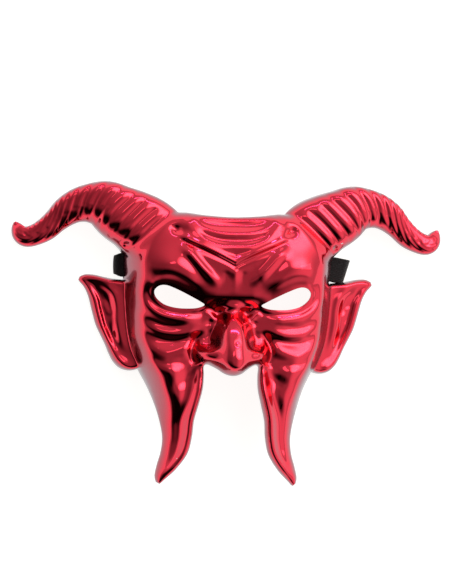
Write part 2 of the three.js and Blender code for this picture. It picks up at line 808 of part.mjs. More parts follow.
// The slack lies in the hollow as two flat folds.
const foldGap = FOLD_RADIUS * 2;
const halfTurn = (x, z, towards) => stepsBetween(-90, 90, 45).map((degrees) => {
  const angle = THREE.MathUtils.degToRad(degrees);
  return [x + towards * FOLD_RADIUS * Math.cos(angle), z + FOLD_RADIUS * Math.sin(angle)];
});
const descent = stepsBetween(0, 1, 0.2).map((share) => [
  THREE.MathUtils.lerp(-FOLD_REACH - 6, -SEWN_END + 2, share),
  flat + 2 * foldGap * THREE.MathUtils.smoothstep(1 - share, 0, 1),
]);
const foldLine = [
  [SEWN_END - 2, flat],
  ...halfTurn(-FOLD_REACH, flat + FOLD_RADIUS, -1),
  ...halfTurn(FOLD_REACH, flat + foldGap + FOLD_RADIUS, 1),
  ...descent,
];

// Both faces of the strap along a middle line: left and right of the way it runs.
// Places are rounded to 0.01 mm, so that level stretches stay exactly level.
const tidy = (value) => Math.round(value * 100) / 100;
function facesOf(line) {
  const left = [];
  const right = [];
  line.forEach(([x, z], i) => {
    const before = line[Math.max(i - 1, 0)];
    const after = line[Math.min(i + 1, line.length - 1)];
    const size = Math.hypot(after[0] - before[0], after[1] - before[1]);
    const nx = -(after[1] - before[1]) / size * flat;
    const nz = (after[0] - before[0]) / size * flat;
    left.push([tidy(x + nx), tidy(z + nz)]);
    right.push([tidy(x - nx), tidy(z - nz)]);
  });
  return { left, right };
}
const mirrored = (line) => line.map(([x, z]) => [-x, z]).reverse();
const wholeLine = [...loopLine(LOOP_OUT_RIGHT), ...foldLine,
  ...mirrored(loopLine(LOOP_OUT_LEFT))];
const { left, right } = facesOf(wholeLine);
const [strapLow, strapHigh] = [STRAP_Y - STRAP_WIDTH / 2, STRAP_Y + STRAP_WIDTH / 2];
const webbing = profileBar([...left, ...right.reverse()], strapLow, strapHigh);
// Stitches through both layers.
const tack = profileBar([
  [SEWN_END + 2, flat],
  [SEWN_END + 2 + TACK_LENGTH, flat],
  [SEWN_END + 2 + TACK_LENGTH, sewn],
  [SEWN_END + 2, sewn],
], strapLow + 1.5, strapHigh - 1.5);
const strap = bothSides(tack).reduce((sum, one) => sum.add(one), webbing);

// A mesh from a solid.
function meshOf(name, solid, material) {
  const { numProp, vertProperties, triVerts } = solid.getMesh();
  const count = vertProperties.length / numProp;
  const positions = new Float32Array(count * 3);
  for (let i = 0; i < count; i++) {
    positions.set(vertProperties.subarray(i * numProp, i * numProp + 3), i * 3);
  }
  const geometry = new THREE.BufferGeometry();
  geometry.setAttribute("position", new THREE.BufferAttribute(positions, 3));
  geometry.setIndex(new THREE.BufferAttribute(triVerts, 1));
  geometry.computeVertexNormals();
  const mesh = new THREE.Mesh(geometry, material);
  mesh.name = name;
  return mesh;
}

const metallisedRed = new THREE.MeshStandardMaterial({
  color: 0xd81838, metalness: 1, roughness: 0.08 });
const blackWebbing = new THREE.MeshStandardMaterial({
  color: 0x101014, metalness: 0, roughness: 0.9 });

const mask = new THREE.Group();
mask.name = "devil_half_mask";
mask.add(meshOf("mask_shell", shell, metallisedRed));
mask.add(meshOf("elastic_strap", strap, blackWebbing));

export default mask;
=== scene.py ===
"""Horned devil half mask lying face up, with its black elastic strap, in a plain pale studio.

All shapes are worked out in millimetres in the model's own frame: +X to the side of the mask
seen on the right, +Y from tails to horns, +Z out of the face, back rim on z = 0.
"""

import math

import bpy
import numpy as np
from mathutils import Matrix, Vector


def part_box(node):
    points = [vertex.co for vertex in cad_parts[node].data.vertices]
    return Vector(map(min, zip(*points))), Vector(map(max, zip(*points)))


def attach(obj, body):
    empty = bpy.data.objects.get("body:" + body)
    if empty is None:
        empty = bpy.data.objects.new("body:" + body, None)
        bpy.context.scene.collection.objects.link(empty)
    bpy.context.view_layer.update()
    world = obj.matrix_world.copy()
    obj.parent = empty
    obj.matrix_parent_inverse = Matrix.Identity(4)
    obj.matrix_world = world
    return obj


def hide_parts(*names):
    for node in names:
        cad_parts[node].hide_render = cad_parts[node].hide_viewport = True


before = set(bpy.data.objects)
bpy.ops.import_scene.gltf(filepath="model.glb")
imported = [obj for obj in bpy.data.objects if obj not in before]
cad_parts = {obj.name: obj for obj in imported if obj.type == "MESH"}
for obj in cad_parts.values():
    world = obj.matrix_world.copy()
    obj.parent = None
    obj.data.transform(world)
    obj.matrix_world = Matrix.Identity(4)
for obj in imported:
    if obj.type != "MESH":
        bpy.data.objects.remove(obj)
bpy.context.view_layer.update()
STRAP_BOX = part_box("elastic_strap")

bl_info = {
    "name": "Horned half mask",
    "version": (1, 0, 0),
    "blender": (4, 5, 0),
    "location": "View3D > Sidebar > Half mask",
    "description": "Builds a metallised devil half mask with its elastic strap",
    "category": "Add Mesh",
}

MM = 0.001

# Drawn lines of the moulding, in millimetres, right half

# Outline of face and tails: x, y, height of the back rim, distance the edge takes to round over.
FACE_EDGE = [
    (0, 76.3, 37, 3), (18, 77.3, 35, 3), (34, 79, 28, 4), (50, 76, 16, 12), (63, 64, 9, 13),
    (69.5, 50, 3, 12), (69, 34, 0, 11), (68, 12, 0, 10.5), (65, -8, 0, 10.5),
    (58.5, -24, 0, 10.5), (52, -37, 6, 10), (47.1, -50, 15, 9), (43.9, -62, 19, 9),
    (42.7, -71, 21, 8), (43.7, -80, 21, 7), (46.1, -88.5, 21, 5), (47.4, -96, 22, 3.5),
    (45.2, -101.1, 23, 2.5), (40.8, -97.5, 26, 3.5), (33.4, -90, 29, 5), (26.9, -80, 32, 5),
    (24.3, -69, 33, 5), (23.3, -58, 35, 5), (20.6, -47, 37, 4.5), (18.3, -37, 37.5, 4),
    (17.8, -28, 38, 3.5), (18, -22.4, 38, 3), (15.6, -21.2, 40, 4), (10.4, -23.7, 46, 6),
    (5.4, -27, 50, 7), (0, -28.3, 50, 7),
]
EAR_EDGE = [
    (64, 33.4), (70, 34), (76, 34.5), (82, 35.6), (88, 36.8), (94, 36.9), (98.2, 34.8),
    (98, 32.5), (94.6, 28.4), (91.8, 22.5), (89.2, 13), (86.6, 4), (83.3, -3), (80, -9.5),
    (77.4, -15.5), (74.3, -21), (69.6, -25.2), (63.5, -26.6), (57, -25), (49, -21), (45, -12),
    (45, 4), (50, 20), (58, 31),
]
EYE_EDGE = [
    (18.9, 18.1), (22.4, 20.7), (29.5, 24.4), (37, 28), (44, 30.6), (49, 30.2), (51.9, 27),
    (50.7, 22.6), (46, 18.5), (40, 16.4), (33, 15.6), (24, 16),
]
# Horn along its spine: x, y, half width, rim height, crest height.
HORN_SPINE = [
    (38, 48.4, 22.2, 12, 30), (46, 58.4, 22.7, 13, 35), (54.5, 66.8, 22, 14, 37),
    (63.5, 72.7, 20.3, 14, 36.5), (73, 77.4, 18.6, 14, 35), (82, 82.9, 15.9, 14, 33),
    (91.5, 84.1, 13.2, 13, 29), (100.3, 82.6, 11.4, 12, 25.5), (107.8, 78.6, 10, 11, 23),
    (114.5, 72.5, 8.4, 9, 19.8), (121, 66.5, 7.9, 8, 17.6), (127.5, 62.7, 7.2, 7, 15.8),
    (133.6, 61, 6.8, 6, 14.2), (137.5, 62.5, 5.8, 5, 12.6), (139.7, 66, 4.1, 4, 10.2),
    (141.1, 69.3, 1.7, 4, 7),
]
# Its ribs by the distance along the spine: slant, pitch and height.
RIB_SLANT = ([0, 30, 60, 75, 90, 110, 150], [2, 4.6, 5.1, 6.6, 13, 18, 20])
RIB_PITCH = ([0, 50, 72, 90, 150], [9, 8.2, 6.8, 5.8, 5.4])
RIB_HEIGHT = ([14, 22, 60, 90, 120, 150], [0, 1.7, 1.5, 1.2, 0.8, 0.5])

# Ridges and furrows of the face: points, width left and right of the way they run, height,
# and the share of the length over which the start and the end fade out.
FACE_LINES = [
    # forehead: three folds that sag between the horns, then the sharp fold that meets in a V
    ([(0, 75.2), (14, 75.6), (24, 77)], 2, 2, 0.6, 0, 0.3),
    ([(0, 65.2), (11, 65.8), (20.5, 68.6), (26, 73), (29, 78)], 3, 3.6, 2.2, 0, 0.2),
    ([(0, 61.2), (10, 61.6), (19, 64), (25, 68)], 1.6, 1.8, -0.9, 0, 0.35),
    ([(0, 56.4), (10, 57.2), (19, 60.6), (25, 65), (30.5, 71), (33, 77)],
     3, 4, 2.3, 0, 0.2),
    ([(0, 51), (6, 52.8), (14, 56.2), (23, 60.6), (31, 65.4)], 2.2, 1.8, -0.9, 0, 0.2),
    ([(0, 46.6), (5, 49.2), (11, 52.1), (20.3, 56.3), (29.2, 60.3), (38, 64.6)],
     3.8, 1.9, 2.4, 0, 0.15),
    ([(0, 43.8), (4, 46.3), (11, 49.7), (20.3, 53.9), (29.2, 57.9), (37, 62)],
     1.2, 1.3, -1.3, 0, 0.12),
    ([(0, 41.8), (5, 44.6), (11, 47.4), (20.3, 51.6), (28, 55.4), (34, 59)],
     2.4, 4, 0.9, 0, 0.25),
    # brow: the slanting fold, and the boss that overhangs the eye
    ([(7.5, 32), (11, 33.4), (15.5, 36.8), (20.5, 41.8), (25.5, 47.4), (30.5, 52.8), (38, 58.8)],
     2.4, 3.8, 2.8, 0.5, 0.2),
    ([(15, 31), (20, 35), (26, 41.5), (31, 47.6), (36, 53)], 2.2, 2.8, -1.2, 0.6, 0.35),
    ([(13, 27), (20, 29), (26, 33), (33, 37.2), (41, 39.8), (49, 39.6), (56, 36.4), (60, 31)],
     9, 5.2, 3.3, 0.42, 0.3),
    # between the brows
    ([(-1, 43), (-1, 36), (0, 24)], 3.4, 3.4, 1.2, 0.3, 0.6),
    ([(6, 42), (5.4, 37), (6, 31)], 2.4, 2.4, -0.5, 0.4, 0.4),
    # nose: brim over the two pockets, their outer rims, and the crease round the wing
    ([(0, 17.4), (8, 17.2), (14, 16.2)], 1.8, 1.8, 1.2, 0, 0.35),
    ([(20, 13), (15.8, 12.6), (12.8, 9.4), (11.4, 4.6)], 2, 2, 1.4, 0.25, 0.4),
    ([(18, 1.5), (22.8, -3.6), (26, -10), (25.9, -16.4), (22.8, -21.5)],
     2.2, 2, -3, 0.35, 0.1),
    # cheek: rolls that start thin at the nose and end broad and rounded at the side
    ([(19.5, 8.8), (28, 8.6), (38, 9.2), (47, 11), (54, 15), (58.4, 21), (60.5, 28)],
     3.6, 4.4, 2.6, 0.25, 0.35),
    ([(33, 4.2), (40, 3.6), (48, 4.8), (56, 8.8)], 1.8, 1.6, -0.8, 0.5, 0.45),
    ([(17.5, 6), (24, 2.6), (31, 0), (39, -1), (48, 0.2), (55, 4), (60, 10)],
     3.8, 3.2, 2.2, 0.3, 0.3),
    ([(24, -2), (30, -5), (37, -6.6), (45, -5.8), (51, -3)], 2.2, 2.2, -1.1, 0.5, 0.45),
    ([(22, -4), (28, -8.8), (35, -12.4), (43, -13.8), (50, -12), (55, -7), (58.5, 0)],
     5.4, 5.4, 2.9, 0.3, 0.35),
    ([(30, -18), (36, -20.4), (43, -21), (50, -18), (55.4, -11.5), (57, -5)],
     1.8, 2, -0.4, 0.45, 0.45),
    ([(26, -17.6), (33, -23), (42, -25.4), (50, -23), (56, -16), (59.4, -7), (60, 3)],
     4.4, 5.6, 1.1, 0.3, 0.3),
    ([(51, -13), (45.5, -20), (39.5, -28.5), (37, -39), (36.3, -50), (36, -62)],
     7.6, 6.5, 3.2, 0.35, 0.4),
    # tails: inner lip and the hollow beside it
    ([(20, -20), (20.8, -30), (22.8, -42), (26.4, -56), (27.6, -69), (30.4, -80),
      (36.6, -89.5), (43.4, -97)], 3, 3.2, 2.4, 0.1, 0.15),
    ([(28, -26), (28.9, -37), (31.2, -48), (33.4, -60), (34, -71), (36.8, -82), (42, -92)],
     4, 4, -2.3, 0.25, 0.3),
]
# Round swellings and hollows: x, y, half length, half width, turn in degrees, height.
FACE_SPOTS = [
    (43, 47, 14, 8, 8, 1.8),
    (37, 19, 17, 7, 17, -1.4),
    (18, -14, 6.4, 5.4, -12, 7.4),
    (14.8, -8.4, 4, 2.4, -25, -3.4),
    (14.2, -2, 3.4, 5.6, 18, -2.6),
    (14.4, 6.6, 3.4, 1.8, -20, -1.1),
    (7.2, 12, 4.8, 4.2, 0, -2.6),
    (30, -31, 8, 4.4, -40, -1.9),
    (38.5, 67.6, 3.4, 2.6, 25, -3.2),
    (0, 70.8, 17, 3, 0, -1.3),
]
EAR_LINES = [
    ([(68, 31.4), (78, 32.6), (87, 34), (95, 33.6), (92.8, 28.6), (88.2, 21), (86, 12),
      (83.2, 3), (79.8, -4), (76.2, -11), (72.4, -18), (67.6, -22.2), (62, -22.6)],
     3, 3, 1.9, 0.1, 0.1),
    ([(90, 30), (85.6, 23.6), (82.6, 14), (80, 4), (75.8, -5), (71.8, -13)],
     2, 2, -1.1, 0.15, 0.3),
    ([(89, 30.4), (81, 29), (76, 24.5), (74, 17), (73, 6), (71, -6), (67.5, -16)],
     2.6, 3, 1.9, 0.2, 0.25),
    ([(82.5, 20), (80, 14.5), (77.2, 9)], 1.8, 1.8, 0.9, 0.35, 0.35),
]
EAR_SPOTS = [
    (78.6, 16, 4, 8, -12, -2),
    (75.4, -4, 3.6, 9, -12, -1.6),
]
# By y: height of the face along its middle line, carried on down the tails' inner edges, the
# same beside the nose, height of the nose above the face, and the nose's half width.
PROFILE = [(-101, 45), (-75, 43), (-45, 45), (-20, 42), (8, 44), (16, 43.3), (18.5, 45.3),
           (21, 47.7), (23.5, 49.6), (26, 50.5), (30, 51.1), (36, 51.8), (42, 52.4), (50, 52),
           (58, 50), (68, 46), (80, 40)]
BROW_PROFILE = [(-101, 45), (-75, 43), (-45, 45), (-20, 42), (8, 44), (16, 45.6), (25, 48),
                (34, 50.6), (42, 52), (50, 51.8), (58, 50), (68, 46), (80, 40)]
NOSE_RISE = [(-30, 17), (-24, 23), (-18, 25), (-12, 23.6), (-4, 18.6), (4, 13), (11, 7.4), (22, 0)]
NOSE_HALF = [(-30, 13), (-24, 14.2), (-18, 14.8), (-12, 13.8), (-4, 11.8), (4, 9.8), (11, 7.4),
             (16, 6.4), (22, 5.6)]
NOWHERE = -60.0  # height and depth that stand for no surface
EDGE = 0.6  # lowest height of the outer surface
RIM_BAND = 1.2  # width of the fine rings along the outline
CALM = 2.6  # distance from the outline where the smooth map takes over
RASTER = ((-147, 147.01), (-104, 102.01))  # x and y that a raster of the mask covers
GRID = (146, -103, 101.5)  # reach in x, low and high y of the mask's point grids
# Boxes cut from each temple: inner and outer |x|, low and high y, low and high z.
TEMPLE_CUTS = {"slot": (63, 73, 34.7, 52.7, 5.4, 8.6), "lift": (61, 73, 34.2, 53.2, -3, 2.8)}

# The strap, in millimetres

SLOT_MIDDLE = 7.0  # height of the slots' middle
TACK_GAP = 0.25  # between the two layers of a sewn end
SEWN = (48, 57, 64)  # |x| where a sewn end starts and rises, and where its loop comes back
LOOP_REACH = 76
LOOP_PULLED = (4.2, -0.8)  # how much farther the right and the left loop stand out
FOLD_REACH, FOLD_RADIUS = 20, 2.6  # of the slack folded inside

# Shapes as whole arrays

def curve_through(points, steps, closed=False):
    """A smooth curve through the points: each stretch is the cubic whose slope at a point is
    half the way between its neighbours."""
    p = np.asarray(points, float)
    if closed:
        p = np.vstack([p[-1], p, p[0], p[1]])
    else:
        p = np.vstack([2 * p[0] - p[1], p, 2 * p[-1] - p[-2]])
    t = (np.arange(steps) / steps)[None, :, None]
    a, b, c, d = (p[k:len(p) - 3 + k, None, :] for k in range(4))
    out = 0.5 * (2 * b + (c - a) * t + (2 * a - 5 * b + 4 * c - d) * t**2
                 + (3 * b - a - 3 * c + d) * t**3)
    out = out.reshape(-1, p.shape[1])
    return out if closed else np.vstack([out, p[-2]])


def ease(low, high, value):
    """0 below low, 1 above high, and a smooth step between."""
    t = np.clip((value - low) / (high - low), 0, 1)
    return t * t * (3 - 2 * t)


def read_table(table, value):
    """Value between the rows (position, value) of a table, by cubics with the rows' slopes."""
    xs, ys = np.array(table, float).T
    slope = np.gradient(ys, xs)
    v = np.clip(value, xs[0], xs[-1])
    i = np.clip(np.searchsorted(xs, v) - 1, 0, len(xs) - 2)
    h = xs[i + 1] - xs[i]
    t = (v - xs[i]) / h
    return ((2 * t**3 - 3 * t**2 + 1) * ys[i] + (t**3 - 2 * t**2 + t) * h * slope[i]
            + (3 * t**2 - 2 * t**3) * ys[i + 1] + (t**3 - t**2) * h * slope[i + 1])


def blend_up(a, b, width):
    """The higher of two heights, rounded into each other over that width."""
    h = np.clip(0.5 + 0.5 * (a - b) / width, 0, 1)
    return b * (1 - h) + a * h + width * h * (1 - h)


def quarter_round(share):
    """Height of a quarter circle: 0 at its edge and 1 from a share of 1 on."""
    u = np.clip(share, 0, 1)
    return np.sqrt(1 - (1 - u) ** 2)


def run_along(line):
    """Distance from a line's first point to each of its points."""
    return np.concatenate([[0], np.cumsum(np.hypot(*np.diff(line, axis=0).T))])


def along_line(x, y, line):
    """Distance to a polyline, share of its points passed at the nearest place, and side of it:
    +1 left of its way."""
    best = np.full(x.shape, 1e9)
    share = np.zeros(x.shape)
    side = np.zeros(x.shape)
    for i in range(len(line) - 1):
        (ax, ay), (bx, by) = line[i][:2], line[i + 1][:2]
        dx, dy = bx - ax, by - ay
        u = np.clip(((x - ax) * dx + (y - ay) * dy) / (dx * dx + dy * dy + 1e-12), 0, 1)
        ex, ey = x - ax - u * dx, y - ay - u * dy
        d = ex * ex + ey * ey
        nearer = d < best
        best = np.where(nearer, d, best)
        share = np.where(nearer, i + u, share)
        side = np.where(nearer, np.sign(dx * ey - dy * ex), side)
    return np.sqrt(best), share / (len(line) - 1), side


def inside(x, y, outline):
    """True inside a closed outline: an odd number of its sides lie to the right."""
    odd = np.zeros(x.shape, bool)
    for (ax, ay), (bx, by) in zip(outline, np.roll(outline, -1, axis=0)):
        if ay != by:
            odd ^= ((ay > y) != (by > y)) & (x < (bx - ax) * (y - ay) / (by - ay) + ax)
    return odd


def depth_in(x, y, outline):
    """Distance to a closed outline, positive inside it."""
    d = along_line(x, y, np.vstack([outline, outline[:1]]))[0]
    return np.where(inside(x, y, outline), d, -d)


def carved(x, y, lines):
    """Sum of ridges and furrows. Across its line a ridge is a bell, and a furrow is narrower
    at its bottom: height / (1 + (distance / width)^2)^1.2."""
    z = np.zeros(x.shape)
    for points, wide_left, wide_right, high, start, end in lines:
        line = curve_through(points, 6)
        reach = 5 * max(wide_left, wide_right)
        low, top = line.min(0) - reach, line.max(0) + reach
        near = np.nonzero((x > low[0]) & (x < top[0]) & (y > low[1]) & (y < top[1]))[0]
        if not len(near):
            continue
        d, share, side = along_line(x[near], y[near], line)
        q = d / np.where(side > 0, wide_left, wide_right)
        fade = np.minimum(ease(0, start, share) if start else 1, ease(0, end, 1 - share))
        shape = np.exp(-q * q) if high > 0 else (1 + q * q) ** -1.2
        z[near] += high * fade * shape * (1 - ease(3.4, 5, q))
    return z


def lid(a, y):
    """The ring fold round the eye hole: a bell 1.4 mm from its edge and a furrow at 4 mm, under
    and outside the hole only."""
    away = np.maximum(-depth_in(a, y, EYE_CURVE), 0)
    low = 1 - ease(-2, 4, y - 17 - 0.36 * (a - 20))
    ring = 0.5 * np.exp(-((away - 1.4) / 1.3) ** 2) - 0.5 * np.exp(-((away - 3.6) / 1.3) ** 2)
    return ring * np.maximum(low, ease(48, 54, a))


def swellings(x, y, spots):
    """Sum of turned oval bells, height * exp(-(u^2 + v^2))."""
    z = np.zeros(x.shape)
    for cx, cy, long, wide, turn, high in spots:
        c, s = math.cos(math.radians(turn)), math.sin(math.radians(turn))
        u = ((x - cx) * c + (y - cy) * s) / long
        v = ((y - cy) * c - (x - cx) * s) / wide
        z += high * np.exp(-(u * u + v * v))
    return z


def half_outline(rows, steps):
    """The right half of an outline that is mirrored at x = 0, as a fine curve from its first row
    to its last one."""
    h = np.array(rows, float)
    flip = np.array([-1] + [1] * (h.shape[1] - 1))
    line = curve_through(np.vstack([h[1] * flip, h, h[-2] * flip]), steps)
    return line[steps:-steps]


FACE_CURVE = half_outline(FACE_EDGE, 6)
EAR_CURVE = curve_through(EAR_EDGE, 6, closed=True)
EYE_CURVE = curve_through(EYE_EDGE, 8, closed=True)
HORN_CURVE = curve_through(HORN_SPINE, 8)
FACE_ROWS = [(s * p[0], *p[1:]) for p in FACE_CURVE[::2] for s in (1, -1)]


def face_depth(a, y):
    """Depth inside the face's outline at |x| = a."""
    d = along_line(a, y, FACE_CURVE)[0]
    return np.where(inside(a, y, np.vstack([FACE_CURVE[:, :2], [0, 0]])), d, -d)


def spread(a, y, rows, soft):
    """Values known at some places, spread over the plane. A row holds x, y and the values, and
    is weighted by 1 / (distance^2 + soft^2)^2."""
    total = np.zeros(a.shape)
    sums = np.zeros((len(rows[0]) - 2, *a.shape))
    for px, py, *values in rows:
        share = 1 / ((a - px) ** 2 + (y - py) ** 2 + soft**2) ** 2
        total += share
        for one, value in zip(sums, values):
            one += share * value
    return sums / total


def face_height(a, y, depth):
    """Height of face and tails: the middle profile for |x| under 12 mm, the brow profile over
    26 mm, falling off to the sides by 11 * (|x| / 60)^4 on the face and by 0.7 mm a
    millimetre on the tails, with the carving and the nose on it, rounded over at its edge
    down to the back rim."""
    rim, rounding = spread(a, y, FACE_ROWS, 3)
    towards_tails = 1 - ease(-60, -20, y)
    middle = 1 - ease(12, 26, a)
    z = read_table(PROFILE, y) * middle + read_table(BROW_PROFILE, y) * (1 - middle)
    z -= 11 * (a / 60) ** 4 * (1 - towards_tails)
    z -= 0.7 * (a - 24) * towards_tails
    z += carved(a, y, FACE_LINES) + swellings(a, y, FACE_SPOTS) + lid(a, y)
    z += read_table(NOSE_RISE, y) * np.exp(
        -(a / read_table(NOSE_HALF, y)) ** (3.2 - 0.9 * (1 - ease(-14, 0, y))))
    z = rim + (z - rim) * quarter_round(depth / rounding)
    return np.where(depth > 0, z, NOWHERE + depth)


def horn_fields(a, y):
    """Where a point lies on the horn: depth inside it, distance along the spine, share of the
    half width across it (+1 on the upper side), half width, rim and crest height. The depth is
    that in the deepest of the discs strung on the spine. The foot on the spine, here evened
    out over 7 mm, is where the way to the point is square to it, found by Newton's steps."""
    line = HORN_CURVE
    arc = run_along(line[:, :2])
    ahead = np.concatenate([-arc[:0:-1], arc, 2 * arc[-1] - arc[-2::-1]])
    spine = np.vstack([2 * line[0, :2] - line[:0:-1, :2], line[:, :2],
                       2 * line[-1, :2] - line[-2::-1, :2]])
    share = np.exp(-0.5 * ((arc[:, None] - ahead[None, :]) / 7) ** 2)
    spine = share @ spine / share.sum(1)[:, None]
    way = np.gradient(spine, arc, axis=0)
    way /= np.linalg.norm(way, axis=1)[:, None]
    turn = np.gradient(way, arc, axis=0)
    best = np.full(a.shape, 1e9)
    along = np.zeros(a.shape)
    for (px, py, half, _, _), run in zip(line, arc):
        d = np.hypot(a - px, y - py) - half
        nearer = d < best
        best = np.where(nearer, d, best)
        along = np.where(nearer, run, along)

    def at(column):
        return np.interp(along, arc, column)

    for _ in range(6):
        dx, dy = a - at(spine[:, 0]), y - at(spine[:, 1])
        miss = dx * at(way[:, 0]) + dy * at(way[:, 1])
        fall = np.minimum(dx * at(turn[:, 0]) + dy * at(turn[:, 1]) - 1, -0.3)
        along = np.clip(along - np.clip(miss / fall, -4, 4), 0, arc[-1])
    half, rim, crest = (at(line[:, k]) for k in (2, 3, 4))
    side = np.tanh((at(way[:, 0]) * dy - at(way[:, 1]) * dx) / 0.5)
    across = side * (1 + np.clip(best / half, -1, 0))
    return -best, along, across, half, rim, crest, arc[-1]


def horn_height(a, y):
    """Height of the horn: across the spine (1 - |share|^n)^(1/n), where n is 2.4 below and 3.8
    above, with ribs that slant more and more towards the tip. A rib rises as |sin|, with its
    valley a little rounded, and a dimple lies below the valleys near the root."""
    depth, along, across, half, rim, crest, length = horn_fields(a, y)
    slant = np.interp(along, *RIB_SLANT)
    place = along + slant * (2 * (0.5 * (across + 1)) ** 1.5 - 1)
    rule = np.linspace(-30, 190, 441)
    pitch = np.interp(rule, *RIB_PITCH)
    count = np.concatenate([[0], np.cumsum(np.diff(rule) / (0.5 * (pitch[1:] + pitch[:-1])))])
    turn = np.interp(place, rule, count)
    phase = turn - np.floor(turn)
    rim = rim * (1 - (1 - ease(8, 30, along)) * (1 - ease(-0.6, 0.1, across)))
    rib = (np.sqrt(np.sin(math.pi * phase) ** 2 + 0.01) - 0.1) / 0.905
    high = np.interp(along, *RIB_HEIGHT)
    high = high * ease(-0.9, -0.6, across)
    high = high * (1 - ease(0.5, 0.75, across) * (1 - ease(30, 55, along)))
    high = high * (1 - ease(length - 9, length, along))
    power = 2.4 + 1.4 * ease(-0.1, 0.7, across)
    round_off = np.clip(1 - np.abs(across) ** power, 0, 1) ** (1 / power)
    z = rim + (crest - rim) * round_off + high * (rib - 0.8) * np.minimum(1.7 * round_off, 1)
    gap = np.minimum(phase, 1 - phase) * np.interp(place, rule, pitch)
    dimple = np.exp(-(gap / 1.2) ** 2 - ((across + 0.82) * half / 1.6) ** 2)
    z -= 1.3 * dimple * ease(24, 32, along) * (1 - ease(70, 80, along))
    return np.where(depth > 0, z, NOWHERE + depth)


def ear_height(a, y):
    """Height of the ear: a flat leaf that falls outwards by 0.4 mm a millimetre and a little
    towards its lobe, with a rolled rim, a fold and a hollow."""
    depth = depth_in(a, y, EAR_CURVE)
    z = 14.5 - 0.4 * (a - 66) + 0.05 * y + carved(a, y, EAR_LINES) + swellings(a, y, EAR_SPOTS)
    z = 2 + (z - 2) * quarter_round(depth / 2.6)
    return np.where(depth > 0, z, NOWHERE + depth)


def marks(x, y):
    """Traces of making and wear, on one side only: the ring of the moulding gate on the nose,
    and a short crack where the left ear meets the face."""
    ring = np.hypot(x - 1.5, y + 7)
    z = -0.45 * np.exp(-((ring - 1.7) / 0.5) ** 2)
    crack = along_line(x, y, [(-60.8, -17.8), (-59.6, -19.4), (-58.4, -20), (-57, -22.4)])[0]
    return z - 0.5 * np.exp(-(crack / 0.4) ** 2)


def zones(a, y):
    """Where face, horn and ear can lie, so that each is worked out only there."""
    return a < 75, (y > 20) & (a > 20), (a > 50) & (y > -32) & (y < 42)


def mask_depth(x, y):
    """Depth inside the whole outline, positive inside: the deepest of face, horn and ear."""
    a = np.abs(x)
    depth = np.full(a.shape, NOWHERE)
    face, horn, ear = zones(a, y)
    depth[face] = face_depth(a[face], y[face])
    depth[horn] = np.maximum(depth[horn], horn_fields(a[horn], y[horn])[0])
    depth[ear] = np.maximum(depth[ear], depth_in(a[ear], y[ear], EAR_CURVE))
    return depth


def mask_height(x, y):
    """Outer height of the moulding: face, horns and ears blended into each other, with a broad
    fillet below the horn's root and a dimple at the temple."""
    a = np.abs(x)
    z = np.full(a.shape, NOWHERE)
    face, horn, ear = zones(a, y)
    z[face] = face_height(a[face], y[face], face_depth(a[face], y[face]))
    root = np.exp(-((a[horn] - 67) / 8) ** 2 - ((y[horn] - 54) / 8) ** 2)
    z[horn] = blend_up(z[horn], horn_height(a[horn], y[horn]),
                       10 - 5 * ease(60, 85, a[horn]) + 8 * root)
    z[ear] = blend_up(z[ear], ear_height(a[ear], y[ear]), 13)
    z -= 4 * np.exp(-((a - 69.8) / 1.9) ** 2 - ((y - 57) / 1.6) ** 2)
    z += marks(x, y)
    return np.maximum(z, EDGE)


def rim_height(x, y):
    """Height of the back rim over the plane, spread from the outlines, less 0.6 mm."""
    rows = [row[:3] for row in FACE_ROWS]
    rows += [(p[0], p[1] + s * p[2], p[3]) for p in np.array(HORN_SPINE)[3:]
             for s in (-1, -0.4, 0.4, 1)]
    rows += [(p[0], p[1], 0) for p in EAR_CURVE[::2]]
    return spread(np.abs(x), y, rows, 4)[0] - 0.6


# Meshes from arrays

def slope_of(depth, x, y):
    """Unit way inwards at each point, from the change of depth over 0.1 mm."""
    gx = depth(x + 0.05, y) - depth(x - 0.05, y)
    gy = depth(x, y + 0.05) - depth(x, y - 0.05)
    size = np.hypot(gx, gy) + 1e-9
    return gx / size, gy / size


def settle(depth, points, level, turns=2):
    """Moves points straight onto the line where depth equals level."""
    for _ in range(turns):
        miss = depth(*points.T) - level
        points = points - np.stack(slope_of(depth, *points.T), 1) * miss[:, None]
    return points


def grid_cells(columns, rows):
    """Numbers of the four corners of each cell of a grid, counterclockwise from the lowest."""
    a = (np.arange(rows - 1)[:, None] * columns + np.arange(columns - 1)[None, :]).ravel()
    return a, a + 1, a + columns + 1, a + columns


